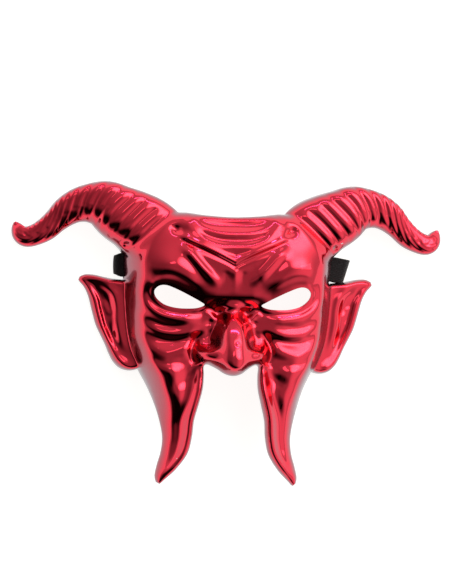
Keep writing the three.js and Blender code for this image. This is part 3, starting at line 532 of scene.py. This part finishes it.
def clipped_grid(step, depth, level):
    """Points and triangles of a plane grid over the mask, kept where depth is over level. Grid
    points near that line move onto it, and triangles that cross it are cut along it."""
    half = math.ceil(GRID[0] / step)
    xs = np.arange(-half, half + 1) * step
    ys = np.arange(*GRID[1:], step)
    gx, gy = (g.ravel() for g in np.meshgrid(xs, ys))
    points = np.stack([gx, gy], 1)
    value = depth(gx, gy) - level
    near = np.abs(value) < 0.3 * (xs[1] - xs[0])
    points[near] = settle(depth, points[near], level)
    value[near] = 0
    a, b, c, d = grid_cells(len(xs), len(ys))
    rising = points[a, 0] + points[b, 0] > 0
    first = np.where(rising[:, None], np.stack([a, b, c], 1), np.stack([a, b, d], 1))
    second = np.where(rising[:, None], np.stack([a, c, d], 1), np.stack([b, c, d], 1))
    tris = np.vstack([first, second])
    v = value[tris]
    tris = tris[(v > 0).any(1)]
    v = value[tris]
    whole = (v >= 0).all(1)
    cut = tris[~whole]
    v = value[cut]
    after = np.roll(cut, -1, axis=1)
    va = value[after]
    crosses = v * va < 0
    ends = np.sort(np.stack([cut[crosses], after[crosses]], 1), axis=1)
    pairs, which = np.unique(ends, axis=0, return_inverse=True)
    share = value[pairs[:, 0]] / (value[pairs[:, 0]] - value[pairs[:, 1]])
    fresh = points[pairs[:, 0]] + share[:, None] * (points[pairs[:, 1]] - points[pairs[:, 0]])
    fresh = settle(depth, fresh, level)
    slots = np.full((len(cut), 6), -1)
    slots[:, 0::2] = np.where(v >= 0, cut, -1)
    crossing = np.full(cut.shape, -1)
    crossing[crosses] = len(points) + which.ravel()
    slots[:, 1::2] = crossing
    order = np.argsort(slots < 0, axis=1, kind="stable")
    corners = np.take_along_axis(slots, order, axis=1)
    three = corners[corners[:, 2] >= 0][:, :3]
    four = corners[corners[:, 3] >= 0][:, [0, 2, 3]]
    points = np.vstack([points, fresh])
    tris = np.vstack([tris[whole], three, four])
    used, tris = np.unique(tris, return_inverse=True)
    return points[used], tris.reshape(-1, 3)


def open_edges(tris):
    """Directed edges that have no triangle on their other side."""
    edges = np.vstack([tris[:, [0, 1]], tris[:, [1, 2]], tris[:, [2, 0]]])
    top = edges.max() + 1
    forth = edges[:, 0] * top + edges[:, 1]
    back = edges[:, 1] * top + edges[:, 0]
    return edges[~np.isin(forth, back)]


def add_rings(points, tris, depth, level, rings):
    """Bands of triangles from the open edge, which lies at that level, outwards to the outline.
    After k of n rings the level is level * (1 - k / n)^2."""
    levels = level * (np.arange(rings, -1, -1) / rings) ** 2
    edges = open_edges(tris)
    edge = np.unique(edges)
    place = np.full(len(points), -1)
    place[edge] = np.arange(len(edge))
    way = np.stack(slope_of(depth, *points[edge].T), 1)
    numbers = [edge]
    out = [points]
    count = len(points)
    last = settle(depth, points[edge] - way * level, 0, 1)
    for here in levels[1:]:
        out.append(points[edge] + (level - here) / level * (last - points[edge]))
        numbers.append(count + np.arange(len(edge)))
        count += len(edge)
    bands = [tris]
    p, q = place[edges[:, 0]], place[edges[:, 1]]
    for inner, outer in zip(numbers[:-1], numbers[1:]):
        bands.append(np.stack([inner[q], inner[p], outer[p]], 1))
        bands.append(np.stack([inner[q], outer[p], outer[q]], 1))
    return np.vstack(out), np.vstack(bands)


def soften(grid, sigma):
    """A raster averaged with a bell of that sigma, counted in cells: one row kernel, then one
    column kernel."""
    reach = math.ceil(3 * sigma)
    bell = np.exp(-0.5 * (np.arange(-reach, reach + 1) / sigma) ** 2)
    out = grid
    for axis in (0, 1):
        padded = np.moveaxis(out, axis, 0)
        total = np.zeros_like(padded)
        for k, share in zip(range(-reach, reach + 1), bell):
            total += share * np.roll(padded, k, 0)
        out = np.moveaxis(total, 0, axis)
    return out


def mask_raster(cell):
    """x and y of the cells of a raster over the whole mask."""
    return np.meshgrid(*(np.arange(low, high, cell) for low, high in RASTER))


def reader(cell, *layers):
    """A function of x and y that reads rasters of the mask between their cells: the four cells
    round a place, each weighted by how near it is."""
    rows, columns = layers[0].shape

    def read(x, y):
        u = np.clip((x - RASTER[0][0]) / cell, 0, columns - 2)
        v = np.clip((y - RASTER[1][0]) / cell, 0, rows - 2)
        i, j = u.astype(int), v.astype(int)
        u, v = u - i, v - j
        return [(layer[j, i] * (1 - u) + layer[j, i + 1] * u) * (1 - v)
                + (layer[j + 1, i] * (1 - u) + layer[j + 1, i + 1] * u) * v for layer in layers]

    return read


def smooth_map(sigma, cell=0.4):
    """Height and slopes of the moulding as the lacquer leaves it: mask_height on a raster,
    averaged over a bell of that sigma with only what lies inside the outline counted. Returns
    a function of x and y that reads height, dz/dx and dz/dy."""
    x, y = mask_raster(cell)
    part = mask_depth(x, y) > 0
    z = np.zeros(x.shape)
    z[part] = mask_height(x[part], y[part])
    weight = soften(part.astype(float), sigma / cell)
    z = soften(z, sigma / cell) / np.maximum(weight, 1e-6)
    slope_y, slope_x = np.gradient(z, cell)
    return reader(cell, z, slope_x, slope_y)


def slab(points, heights, tris, bottom):
    """A closed block between a top surface and a level bottom with the same triangles."""
    n = len(points)
    top = np.column_stack([points, heights])
    base = np.column_stack([points, np.full(n, float(bottom))])
    p, q = open_edges(tris).T
    faces = np.vstack([tris, tris[:, ::-1] + n, np.stack([q, p, p + n], 1),
                       np.stack([q, p + n, q + n], 1)])
    return np.vstack([top, base]), faces


def new_object(name, vertices, faces, materials, kind=0):
    """A mesh object from arrays: vertices in millimetres, triangles or quads, and the number of
    the material that all faces get."""
    mesh = bpy.data.meshes.new(name)
    mesh.vertices.add(len(vertices))
    mesh.vertices.foreach_set("co", (np.asarray(vertices, float) * MM).astype(np.float32).ravel())
    side = faces.shape[1]
    mesh.loops.add(faces.size)
    mesh.loops.foreach_set("vertex_index", faces.astype(np.int32).ravel())
    mesh.polygons.add(len(faces))
    mesh.polygons.foreach_set("loop_start", np.arange(0, faces.size, side, dtype=np.int32))
    mesh.polygons.foreach_set("material_index", np.full(len(faces), kind, np.int32))
    mesh.update(calc_edges=True)
    mesh.validate()
    for material in materials:
        mesh.materials.append(material)
    obj = bpy.data.objects.new(name, mesh)
    bpy.context.collection.objects.link(obj)
    return obj


def cut_with(obj, cutters):
    """Takes each cutter's volume out of obj and deletes the cutters."""
    for cutter in cutters:
        step = obj.modifiers.new("cut", "BOOLEAN")
        step.operation = "DIFFERENCE"
        step.solver = "MANIFOLD"
        step.object = cutter
    bpy.context.view_layer.update()
    graph = bpy.context.evaluated_depsgraph_get()
    mesh = bpy.data.meshes.new_from_object(obj.evaluated_get(graph))
    obj.modifiers.clear()
    old = obj.data
    obj.data = mesh
    bpy.data.meshes.remove(old)
    for cutter in cutters:
        data = cutter.data
        bpy.data.objects.remove(cutter)
        bpy.data.meshes.remove(data)


def prism(name, outline, low, high, materials):
    """A straight block over a closed outline, fanned from its middle point."""
    n = len(outline)
    i = np.arange(n)
    j = np.roll(i, -1)
    if np.sum(outline[i, 0] * outline[j, 1] - outline[j, 0] * outline[i, 1]) < 0:
        i, j = j, i
    points = np.vstack([outline, outline.mean(0)])
    block = slab(points, np.full(n + 1, high), np.stack([i, j, np.full(n, n)], 1), low)
    return new_object(name, *block, materials, 1)


def read_mesh(items, name, width=1):
    """One property of all vertices, loops or faces of a mesh, as an array."""
    out = np.zeros(len(items) * width, np.int32 if width == 1 else np.float32)
    items.foreach_get(name, out)
    return out if width == 1 else out.reshape(-1, width)


def smooth_by_angle(obj, degrees):
    """Smooth shading with creases where two faces meet at more than that angle, or where the
    material changes."""
    mesh = obj.data
    mesh.polygons.foreach_set("use_smooth", np.ones(len(mesh.polygons), bool))
    normals = read_mesh(mesh.polygon_normals, "vector", 3)
    kind = read_mesh(mesh.polygons, "material_index")
    edge_of = read_mesh(mesh.loops, "edge_index")
    face_of = np.repeat(np.arange(len(kind)), read_mesh(mesh.polygons, "loop_total"))
    order = np.argsort(edge_of, kind="stable")
    e, f = edge_of[order], face_of[order]
    pair = np.nonzero(e[1:] == e[:-1])[0]
    f0, f1 = f[pair], f[pair + 1]
    crease = np.sum(normals[f0] * normals[f1], axis=1) < math.cos(math.radians(degrees))
    crease |= kind[f0] != kind[f1]
    sharp = np.zeros(len(mesh.edges), bool)
    sharp[e[pair[crease]]] = True
    mesh.edges.foreach_set("use_edge_sharp", sharp)


# Materials

def linear(code):
    """sRGB hex to linear RGBA."""
    out = []
    for k in (1, 3, 5):
        v = int(code[k:k + 2], 16) / 255
        out.append(v / 12.92 if v <= 0.04045 else ((v + 0.055) / 1.055) ** 2.4)
    return (*out, 1.0)


def add_node(tree, kind, settings=None, **inputs):
    """Adds a node, sets its properties, and fills its inputs with values or links. An input is
    named as in Blender with spaces as underscores, or by number as in0, in1. A node that is
    given as a value stands for its first output."""
    node = tree.nodes.new("ShaderNode" + kind)
    for key, value in (settings or {}).items():
        setattr(node, key, value)
    for key, value in inputs.items():
        numbered = key.startswith("in") and key[2:].isdigit()
        socket = node.inputs[int(key[2:]) if numbered else key.replace("_", " ")]
        if isinstance(value, bpy.types.Node):
            value = value.outputs[0]
        if isinstance(value, bpy.types.NodeSocket):
            tree.links.new(value, socket)
        else:
            socket.default_value = value
    return node


def new_material(name):
    """An empty node material, its tree and the object's own coordinates."""
    material = bpy.data.materials.new(name)
    material.use_nodes = True
    tree = material.node_tree
    tree.nodes.clear()
    return material, tree, add_node(tree, "TexCoord").outputs["Object"]


# Bare chips in the skin: x, y and size in millimetres.
CHIPS = [(73.5, 60.6, 2.4), (-34.5, -83.4, 1), (18.4, -16.2, 1.5), (-84.4, -9.9, 1.1),
         (16.2, -13.4, 0.9)]
# Widths in millimetres of the lacquer's waves, of its patches of haze, and of the teeth along a
# chip's edge, which are drawn as coarse as they need to be to show.
WAVE, HAZE, TEETH = 9.1, 16.7, 0.77


def metallised_plastic(colour, roughness):
    """Polystyrene, moulded, vacuum metallised with aluminium and dipped in clear red lacquer:
    a red mirror with a slight waviness of the lacquer, and tiny chips down to the grey metal.
    Steep walls, picked out by which way the surface faces, get a painted reflection: a pale, dull
    pink, and a rougher finish."""
    material, tree, where = new_material("metallised_red_plastic")
    wave, haze, torn = (
        add_node(tree, "TexNoise", Vector=where, Scale=1 / (size * MM), Detail=detail)
        for size, detail in ((WAVE, 1.0), (HAZE, 3.0), (TEETH, 2.0)))
    rough = add_node(tree, "MapRange", Value=haze, in1=0.35, in2=0.7, in3=roughness * 0.7,
                     in4=roughness * 1.5)
    bump = add_node(tree, "Bump", Strength=0.1, Distance=0.0003, Height=wave)
    level = add_node(tree, "VectorMath", {"operation": "MULTIPLY"}, in0=where, in1=(1, 1, 0))
    bare = 0.0
    for x, y, size in CHIPS:
        near = add_node(tree, "VectorMath", {"operation": "DISTANCE"}, in0=level,
                        in1=(x * MM, y * MM, 0)).outputs["Value"]
        spot = add_node(tree, "MapRange", Value=near, in1=0.0, in2=size * MM, in3=0.62, in4=0.0)
        bare = add_node(tree, "Math", {"operation": "MAXIMUM"}, in0=spot, in1=bare)
    chip = add_node(tree, "Math", {"operation": "GREATER_THAN"}, in0=bare, in1=torn)
    # Painted reflection: the steeper the surface faces, the more it is painted a pale, dull pink
    # (wall) and made rougher, standing in for the dim room that the sides mirror.
    facing = add_node(tree, "SeparateXYZ", Vector=add_node(tree, "TexCoord").outputs["Normal"])
    wall = add_node(tree, "MapRange", {"interpolation_type": "SMOOTHSTEP"},
                    Value=facing.outputs["Z"], in1=0.66, in2=0.38, in3=0.0, in4=0.85)
    colour_with_painted_sides = add_node(tree, "MixRGB", Fac=wall, Color1=linear(colour), Color2=linear("#ab4552"))
    skin = add_node(tree, "MixRGB", Fac=chip, Color1=colour_with_painted_sides, Color2=linear("#c9c6c8"))
    rough = add_node(tree, "Math", {"operation": "MULTIPLY_ADD"}, in0=wall, in1=0.16, in2=rough)
    shader = add_node(
        tree, "BsdfPrincipled", Base_Color=skin, Metallic=1.0, Roughness=rough, Normal=bump,
        Specular_Tint=linear("#bfdde2"), Coat_Weight=0.55, Coat_Roughness=0.03, Coat_IOR=1.5)
    add_node(tree, "OutputMaterial", Surface=shader)
    return material


def grained(name, size, deep, strength, **finish):
    """A material of one colour with a grain, its width and depth in millimetres. A real one is
    finer, and is drawn here as coarse as it needs to be to show."""
    material, tree, where = new_material(name)
    grain = add_node(tree, "TexNoise", Vector=where, Scale=1 / (size * MM), Detail=2.0)
    bump = add_node(tree, "Bump", Strength=strength, Distance=deep * MM, Height=grain)
    shader = add_node(tree, "BsdfPrincipled", Normal=bump, **finish)
    add_node(tree, "OutputMaterial", Surface=shader)
    return material


def plain_plastic(colour):
    """The same polystyrene where the metal didn't reach, on the inside: a dull moulded red."""
    return grained("bare_red_plastic", 1.43, 0.05, 0.2, Base_Color=linear(colour),
                   Roughness=0.42, IOR=1.59)


def floor_paint(colour):
    """Matt white table top, faintly lit from below as a light table is, with a fine grain."""
    return grained("white_table", 2.5, 0.1, 0.05, Base_Color=linear("#8c8b8a"),
                   Roughness=0.8, Emission_Color=linear(colour), Emission_Strength=1.0)


def elastic_webbing(colour, pitch):
    """Elastic webbing, woven polyester over rubber: fine ribs along it, crossed by a weft that
    is 1.3 times as dense. A wave texture has one band per 2 * pi / 20 of its coordinate."""
    material, tree, _ = new_material("black_elastic_webbing")
    uv = add_node(tree, "UVMap", {"uv_map": "ribbon"})
    ribs, weft = (add_node(tree, "TexWave", {"bands_direction": way}, Vector=uv,
                           Scale=2 * math.pi / 20 / pitch * dense).outputs["Fac"]
                  for way, dense in (("Y", 1), ("X", 1.3)))
    knit = add_node(tree, "Math", {"operation": "MULTIPLY"}, in0=ribs, in1=weft)
    bump = add_node(tree, "Bump", Strength=0.9, Distance=0.0004, Height=knit)
    shade = add_node(tree, "MixRGB", Fac=knit, Color1=linear("#050507"), Color2=linear(colour))
    shader = add_node(tree, "BsdfPrincipled", Base_Color=shade, Roughness=0.85, Normal=bump,
                      Sheen_Weight=0.25, Sheen_Roughness=0.4)
    add_node(tree, "OutputMaterial", Surface=shader)
    return material


# Settings

class MaskSettings(bpy.types.PropertyGroup):
    wall: bpy.props.FloatProperty(
        name="Wall", description="Thickness of the moulded shell", default=0.0016,
        min=0.0008, max=0.003, unit="LENGTH")
    spacing: bpy.props.FloatProperty(
        name="Mesh spacing", description="Distance between points of the outer surface",
        default=0.00066, min=0.0005, max=0.003, unit="LENGTH")
    flow: bpy.props.FloatProperty(
        name="Flow", description="Width over which metal and lacquer round off the carving",
        default=0.00062, min=0.0004, max=0.003, unit="LENGTH")
    lacquer: bpy.props.StringProperty(
        name="Lacquer", description="Colour of the metallised skin, sRGB hex", default="#e12741")
    roughness: bpy.props.FloatProperty(
        name="Roughness", description="Roughness of the metallised skin", default=0.07,
        min=0.0, max=1.0, subtype="FACTOR")
    inside: bpy.props.StringProperty(
        name="Inside", description="Colour of the bare plastic, sRGB hex", default="#8e1220")


class StrapSettings(bpy.types.PropertyGroup):
    thickness: bpy.props.FloatProperty(
        name="Thickness", description="Thickness of the webbing", default=0.0012,
        min=0.0006, max=0.002, unit="LENGTH")
    width: bpy.props.FloatProperty(
        name="Width", description="Width of the webbing",
        default=STRAP_BOX[1][1] - STRAP_BOX[0][1], unit="LENGTH")
    rib_pitch: bpy.props.FloatProperty(
        name="Rib pitch", description="Distance between the woven ribs", default=0.0011,
        unit="LENGTH")
    colour: bpy.props.StringProperty(
        name="Colour", description="Colour of the webbing, sRGB hex", default="#17171c")


class StageSettings(bpy.types.PropertyGroup):
    yaw: bpy.props.FloatProperty(
        name="Camera yaw", description="Turn of the camera to the left of straight above",
        default=math.radians(7), subtype="ANGLE")
    roll: bpy.props.FloatProperty(
        name="Camera roll", description="Turn of the camera about its own axis",
        default=math.radians(1.1), subtype="ANGLE")
    distance: bpy.props.FloatProperty(
        name="Camera distance", description="Distance of the camera from the mask", default=3.2,
        unit="LENGTH")
    floor_colour: bpy.props.StringProperty(
        name="Floor", description="Colour of the floor, sRGB hex", default="#f7f6f4")


# Pieces

class MASK_OT_shell(bpy.types.Operator):
    """Builds the one-piece moulding: face, horns, ears and tails"""

    bl_idname = "mask.shell"
    bl_label = "Shell"

    def execute(self, context):
        settings = context.scene.mask_settings
        wall = settings.wall / MM
        skins = (metallised_plastic(settings.lacquer, settings.roughness),
                 plain_plastic(settings.inside))
        points, tris = add_rings(
            *clipped_grid(settings.spacing / MM, mask_depth, RIM_BAND), mask_depth, RIM_BAND, 8)
        smooth = smooth_map(settings.flow / MM)
        share = ease(1.0, CALM, mask_depth(*points.T))
        heights = mask_height(*points.T) * (1 - share) + smooth(*points.T)[0] * share
        body = new_object("devil_shell", *slab(points, heights, tris, 0), skins)
        cutters = [self.hollow(wall, skins), self.under_rim(skins)]
        for side in (1, -1):
            cutters.append(prism("eye", EYE_CURVE * [side, 1], 12, 80, skins))
            for name, (near, far, y0, y1, low, high) in TEMPLE_CUTS.items():
                x0, x1 = sorted((side * near, side * far))
                corners = np.array([(x0, y0), (x1, y0), (x1, y1), (x0, y1)], float)
                cutters.append(prism(name, corners, low, high, skins))
        cut_with(body, cutters)
        smooth_by_angle(body, 50)
        self.polish(body, smooth)
        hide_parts("mask_shell")
        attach(body, "root")
        return {"FINISHED"}

    def polish(self, body, smooth):
        """Takes the outer skin's normals from the smooth map's slopes, (-dz/dx, -dz/dy, 1),
        wherever it lies deep enough inside the outline."""
        mesh = body.data
        x, y, _ = read_mesh(mesh.vertices, "co", 3).astype(float).T / MM
        _, slope_x, slope_y = smooth(x, y)
        normal = np.stack([-slope_x, -slope_y, np.ones(len(x))], 1)
        normal /= np.linalg.norm(normal, axis=1)[:, None]
        corner = read_mesh(mesh.loops, "vertex_index")
        kind = np.repeat(read_mesh(mesh.polygons, "material_index"),
                         read_mesh(mesh.polygons, "loop_total"))
        skin = (kind == 0) & (mask_depth(x, y) > CALM)[corner]
        mesh.normals_split_custom_set(np.where(skin[:, None], normal[corner], 0).tolist())

    def hollow(self, wall, skins):
        """The space inside: the outer surface lowered everywhere by a ball of the wall's
        radius, and the outline drawn in by the wall."""
        cell = 0.7
        outer = mask_height(*mask_raster(cell))
        low = outer - wall
        reach = int(wall / cell)
        for i in range(-reach, reach + 1):
            for j in range(-reach, reach + 1):
                d = cell * math.hypot(i, j)
                if 0 < d <= wall:
                    moved = np.roll(outer, (j, i), (0, 1))
                    low = np.minimum(low, moved - math.sqrt(wall**2 - d**2))

        def depth(x, y):
            return mask_depth(x, y) - wall

        points, tris = add_rings(*clipped_grid(1.7, depth, 1.0), depth, 1.0, 3)
        heights = np.maximum(reader(cell, low)(*points.T)[0], 0.4)
        return new_object("hollow", *slab(points, heights, tris, -3), skins, 1)

    def under_rim(self, skins):
        """Everything below the back rim."""
        xs, ys = np.arange(-150, 150.1, 3.0), np.arange(-108, 108.1, 3.0)
        x, y = (g.ravel() for g in np.meshgrid(xs, ys))
        a, b, c, d = grid_cells(len(xs), len(ys))
        tris = np.vstack([np.stack([a, b, c], 1), np.stack([a, c, d], 1)])
        block = slab(np.stack([x, y], 1), rim_height(x, y), tris, -9)
        return new_object("under_rim", *block, skins, 1)


class MASK_OT_strap(bpy.types.Operator):
    """Builds the elastic strap: both loops at the temples and the folded slack inside"""

    bl_idname = "mask.strap"
    bl_label = "Strap"

    def execute(self, context):
        settings = context.scene.strap_settings
        thick, wide = settings.thickness / MM, settings.width / MM
        flat, sewn = thick / 2, thick * 1.5 + TACK_GAP
        bend = (SLOT_MIDDLE - flat) / 2
        turn = np.radians(np.arange(90, -91, -15))
        arc = np.stack([LOOP_REACH - bend + bend * np.cos(turn),
                        SLOT_MIDDLE - bend + bend * np.sin(turn)], 1)
        start = [(SEWN[0], sewn), (SEWN[1], sewn), (60, 2.8), (63, 4.5), (66, 6.2),
                 (69, SLOT_MIDDLE)]
        right, left = (np.vstack([start, arc + [pulled, 0], [(SEWN[2], flat)]])
                       for pulled in LOOP_PULLED)
        swing = np.radians(np.arange(-90, 91, 22.5))
        fold = [[(SEWN[0] - 2, flat)]]
        for x, height in ((-FOLD_REACH, 1), (FOLD_REACH, 3)):
            fold.append(np.stack([x + math.copysign(FOLD_RADIUS, x) * np.cos(swing),
                                  flat + height * FOLD_RADIUS + FOLD_RADIUS * np.sin(swing)], 1))
        fold.append(np.stack([np.linspace(-FOLD_REACH - 6, 2 - SEWN[0], 9),
                              flat + 4 * FOLD_RADIUS * ease(0, 1, np.linspace(1, 0, 9))], 1))
        line = np.vstack([right, *fold, (left * [-1, 1])[::-1]])
        points, faces, uv = self.ribbon(line, thick, wide)
        # The right loop is pulled askew, the left one curls in at its corners.
        x, y = points[:, 0].copy(), points[:, 1].copy()
        askew = 0.3 * ease(67, 74, x)
        curl = 0.22 * ease(-69.5, -76, x)
        points[:, 0] = x + askew * y + curl * 0.03 * y**2
        points[:, 1] = y * (1 - curl) - askew * (x - 69) * 0.6
        points[:, 2] = np.maximum(points[:, 2], 0)
        middle = (STRAP_BOX[0][1] + STRAP_BOX[1][1]) / 2 / MM
        points = points + np.array([0, middle, 0])
        skin = elastic_webbing(settings.colour, settings.rib_pitch)
        obj = new_object("elastic_webbing", points, faces, (skin,))
        layer = obj.data.uv_layers.new(name="ribbon")
        layer.data.foreach_set("uv", (uv[faces.ravel()] * MM).astype(np.float32).ravel())
        smooth_by_angle(obj, 60)
        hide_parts("elastic_strap")
        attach(obj, "root")
        return {"FINISHED"}

    def ribbon(self, line, thick, wide):
        """A flat band along a line in the xz plane, closed at both ends: at each place its
        section is a rectangle, wide by thick, with round edges and set square to the line."""
        fine = curve_through(line, 3)
        fine = fine[np.diff(run_along(fine), prepend=-1) > 1e-3]
        run = run_along(fine)
        way = np.gradient(fine, axis=0)
        way /= np.linalg.norm(way, axis=1)[:, None]
        side = np.stack([-way[:, 1], way[:, 0]], 1)
        h = thick / 2
        corner = np.radians([0, 30, 60, 90])
        edge = np.stack([wide / 2 - h + h * np.cos(corner), h * np.sin(corner)], 1)
        across = np.linspace(1, -1, 9)[1:-1] * (wide / 2 - h)
        top = np.vstack([edge, np.stack([across, np.full(7, h)], 1), (edge * [-1, 1])[::-1]])
        section = np.vstack([top, (top * [1, -1])[::-1][1:-1]])
        m, n = len(section), len(fine)
        points = np.zeros((n, m, 3))
        points[..., 0] = fine[:, None, 0] + side[:, None, 0] * section[None, :, 1]
        points[..., 2] = fine[:, None, 1] + side[:, None, 1] * section[None, :, 1]
        points[..., 1] = section[None, :, 0]
        uv = np.zeros((n, m, 2))
        uv[..., 0] = run[:, None]
        uv[..., 1] = section[None, :, 0]
        i = np.arange(n - 1)[:, None] * m
        j = np.arange(m)[None, :]
        k = (j + 1) % m
        quads = np.stack([i + j, i + k, i + m + k, i + m + j], 2).reshape(-1, 4)
        caps = []
        for base, flip in ((0, True), ((n - 1) * m, False)):
            ring = base + np.arange(m)
            half = m // 2
            middle = np.stack([ring[1:half], ring[2:half + 1],
                               ring[m - 1 - np.arange(1, half)],
                               ring[m - np.arange(1, half)]], 1)
            caps.append(middle[:, ::-1] if flip else middle)
        return points.reshape(-1, 3), np.vstack([quads] + caps), uv.reshape(-1, 2)


class MASK_OT_stage(bpy.types.Operator):
    """Builds floor, light and camera"""

    bl_idname = "mask.stage"
    bl_label = "Stage"

    def execute(self, context):
        settings = context.scene.stage_settings
        context.scene.view_settings.view_transform = "Standard"
        floor = new_object("floor", self.rectangle(6, 6), np.array([[0, 1, 2, 3]]),
                           (floor_paint(settings.floor_colour),))
        self.world(context.scene)
        for name, place, width, height, radiance, colour in (
            ("right_box", (1.5, 0.4, 1.0), 0.7, 1.1, 1.0, "#ffffff"),
            ("high_box", (-0.5, 1.0, 1.9), 0.7, 0.4, 1.2, "#ffffff"),
            ("strip", (0.1, 1.5, 0.75), 1.2, 0.07, 12, "#cdb6ff"),
        ):
            self.softbox(context, name, place, width, height, radiance, colour)
        for name, place, width, height in (
            ("left_card", (-0.85, -0.95, 1.0), 0.6, 0.6),
            ("low_card", (-0.25, -1.1, 0.85), 1.3, 0.4),
        ):
            self.card(name, place, width, height)
        self.camera(context.scene, settings)
        return {"FINISHED"}

    def rectangle(self, width, height):
        """Corners in millimetres of a level rectangle about the origin, sized in metres."""
        w, h = width / 2 / MM, height / 2 / MM
        return np.array([(-w, -h, 0), (w, -h, 0), (w, h, 0), (-w, h, 0)])

    def world(self, scene):
        """The studio walls: bright to the right and behind the horns, dim to the left, black
        towards the tails and a little left of them, and white again low down all round. Each
        part is a smooth step over the direction, and the strength is
        ((right + back + 0.42) * left * front + lamp), mixed with 0.75 near the floor, where
        lamp is a soft round light up on the right."""
        world = bpy.data.worlds.new("studio")
        scene.world = world
        world.use_nodes = True
        tree = world.node_tree
        tree.nodes.clear()
        where = add_node(tree, "TexCoord").outputs["Object"]
        axes = add_node(tree, "SeparateXYZ", Vector=where).outputs
        front, lamp = (
            add_node(tree, "VectorMath", {"operation": "DOT_PRODUCT"}, in0=where,
                     in1=way).outputs["Value"]
            for way in ((0.42, 0.91, 0), Vector((0.5, 0.5, 0.72)).normalized()))
        right, back, left, front, low, lamp = (
            add_node(tree, "MapRange", {"interpolation_type": "SMOOTHSTEP"},
                     Value=value, in1=near, in2=far, in3=start, in4=end)
            for value, near, far, start, end in (
                (axes["X"], 0.05, 0.8, 0.0, 0.75), (axes["Y"], 0.1, 0.8, 0.0, 0.4),
                (axes["X"], -0.8, -0.15, 0.6, 1.0), (front, -0.7, -0.28, 0.04, 1.0),
                (axes["Z"], 0.04, 0.3, 1.0, 0.0), (lamp, 0.86, 0.985, 0.0, 3.2)))
        strength = right
        for operation, value in (("ADD", back), ("ADD", 0.42), ("MULTIPLY", left),
                                 ("MULTIPLY", front), ("ADD", lamp)):
            strength = add_node(tree, "Math", {"operation": operation}, in0=strength, in1=value)
        strength = add_node(tree, "Mix", Factor=low, in2=strength, in3=0.75)
        light = add_node(tree, "Background", Color=linear("#f5f3ee"), Strength=strength)
        add_node(tree, "OutputWorld", Surface=light)

    def softbox(self, context, name, place, width, height, radiance, colour):
        """A softbox that faces the mask. Its power is radiance * pi * area."""
        lamp = bpy.data.lights.new(name, "AREA")
        lamp.shape = "RECTANGLE"
        lamp.size, lamp.size_y = width, height
        lamp.energy = radiance * math.pi * width * height
        lamp.color = linear(colour)[:3]
        obj = bpy.data.objects.new(name, lamp)
        obj.location = place
        obj.rotation_euler = self.facing(place).to_euler()
        obj.visible_camera = False
        context.collection.objects.link(obj)

    def card(self, name, place, width, height):
        """A black card beside the camera, which the bright skin reflects."""
        turn = np.array(self.facing(place).to_matrix())
        corners = self.rectangle(width, height) @ turn.T + np.array(place) / MM
        material, tree, _ = new_material("black_card")
        add_node(tree, "OutputMaterial",
                 Surface=add_node(tree, "BsdfDiffuse", Color=linear("#0a0a0a")))
        obj = new_object(name, corners, np.array([[0, 1, 2, 3]]), (material,))
        obj.visible_camera = False

    def facing(self, place):
        """The turn that points a lamp or card at the mask from a place."""
        return (Vector((0, 0, 0.03)) - Vector(place)).to_track_quat("-Z", "Y")

    def camera(self, scene, settings):
        """The photograph's frame spans 300.6 by 388.4 mm at the mask. In the camera's own axes
        its middle lies 1.13 mm right of the mask's origin, 26.9 mm above it and 8 mm nearer."""
        data = bpy.data.cameras.new("camera")
        cam = bpy.data.objects.new("camera", data)
        scene.collection.objects.link(cam)
        turn = Matrix.Rotation(-settings.yaw, 4, "Y") @ Matrix.Rotation(settings.roll, 4, "Z")
        cam.matrix_world = turn @ Matrix.Translation((0.00113, 0.0269, 0.008 + settings.distance))
        data.sensor_width = 36
        data.lens = 36 * settings.distance / 0.3884
        data.clip_start, data.clip_end = 0.1, 50
        scene.camera = cam


class MASK_PT_panel(bpy.types.Panel):
    """Lists the pieces of the mask"""

    bl_idname = "MASK_PT_panel"
    bl_label = "Half mask"
    bl_space_type = "VIEW_3D"
    bl_region_type = "UI"
    bl_category = "Half mask"

    def draw(self, context):
        layout = self.layout
        for operator, group in ((MASK_OT_shell, "mask_settings"),
                                (MASK_OT_strap, "strap_settings"),
                                (MASK_OT_stage, "stage_settings")):
            settings = getattr(context.scene, group)
            layout.operator(operator.bl_idname)
            for key in settings.bl_rna.properties.keys():
                if key not in {"rna_type", "name"}:
                    layout.prop(settings, key)


GROUPS = (("mask_settings", MaskSettings), ("strap_settings", StrapSettings),
          ("stage_settings", StageSettings))
CLASSES = (MASK_OT_shell, MASK_OT_strap, MASK_OT_stage, MASK_PT_panel)


def register():
    for name, group in GROUPS:
        bpy.utils.register_class(group)
        setattr(bpy.types.Scene, name, bpy.props.PointerProperty(type=group))
    for one in CLASSES:
        bpy.utils.register_class(one)


def unregister():
    for one in reversed(CLASSES):
        bpy.utils.unregister_class(one)
    for name, group in reversed(GROUPS):
        delattr(bpy.types.Scene, name)
        bpy.utils.unregister_class(group)


def main():
    register()
    bpy.ops.mask.shell()
    bpy.ops.mask.strap()
    bpy.ops.mask.stage()


if __name__ == "__main__":
    main()
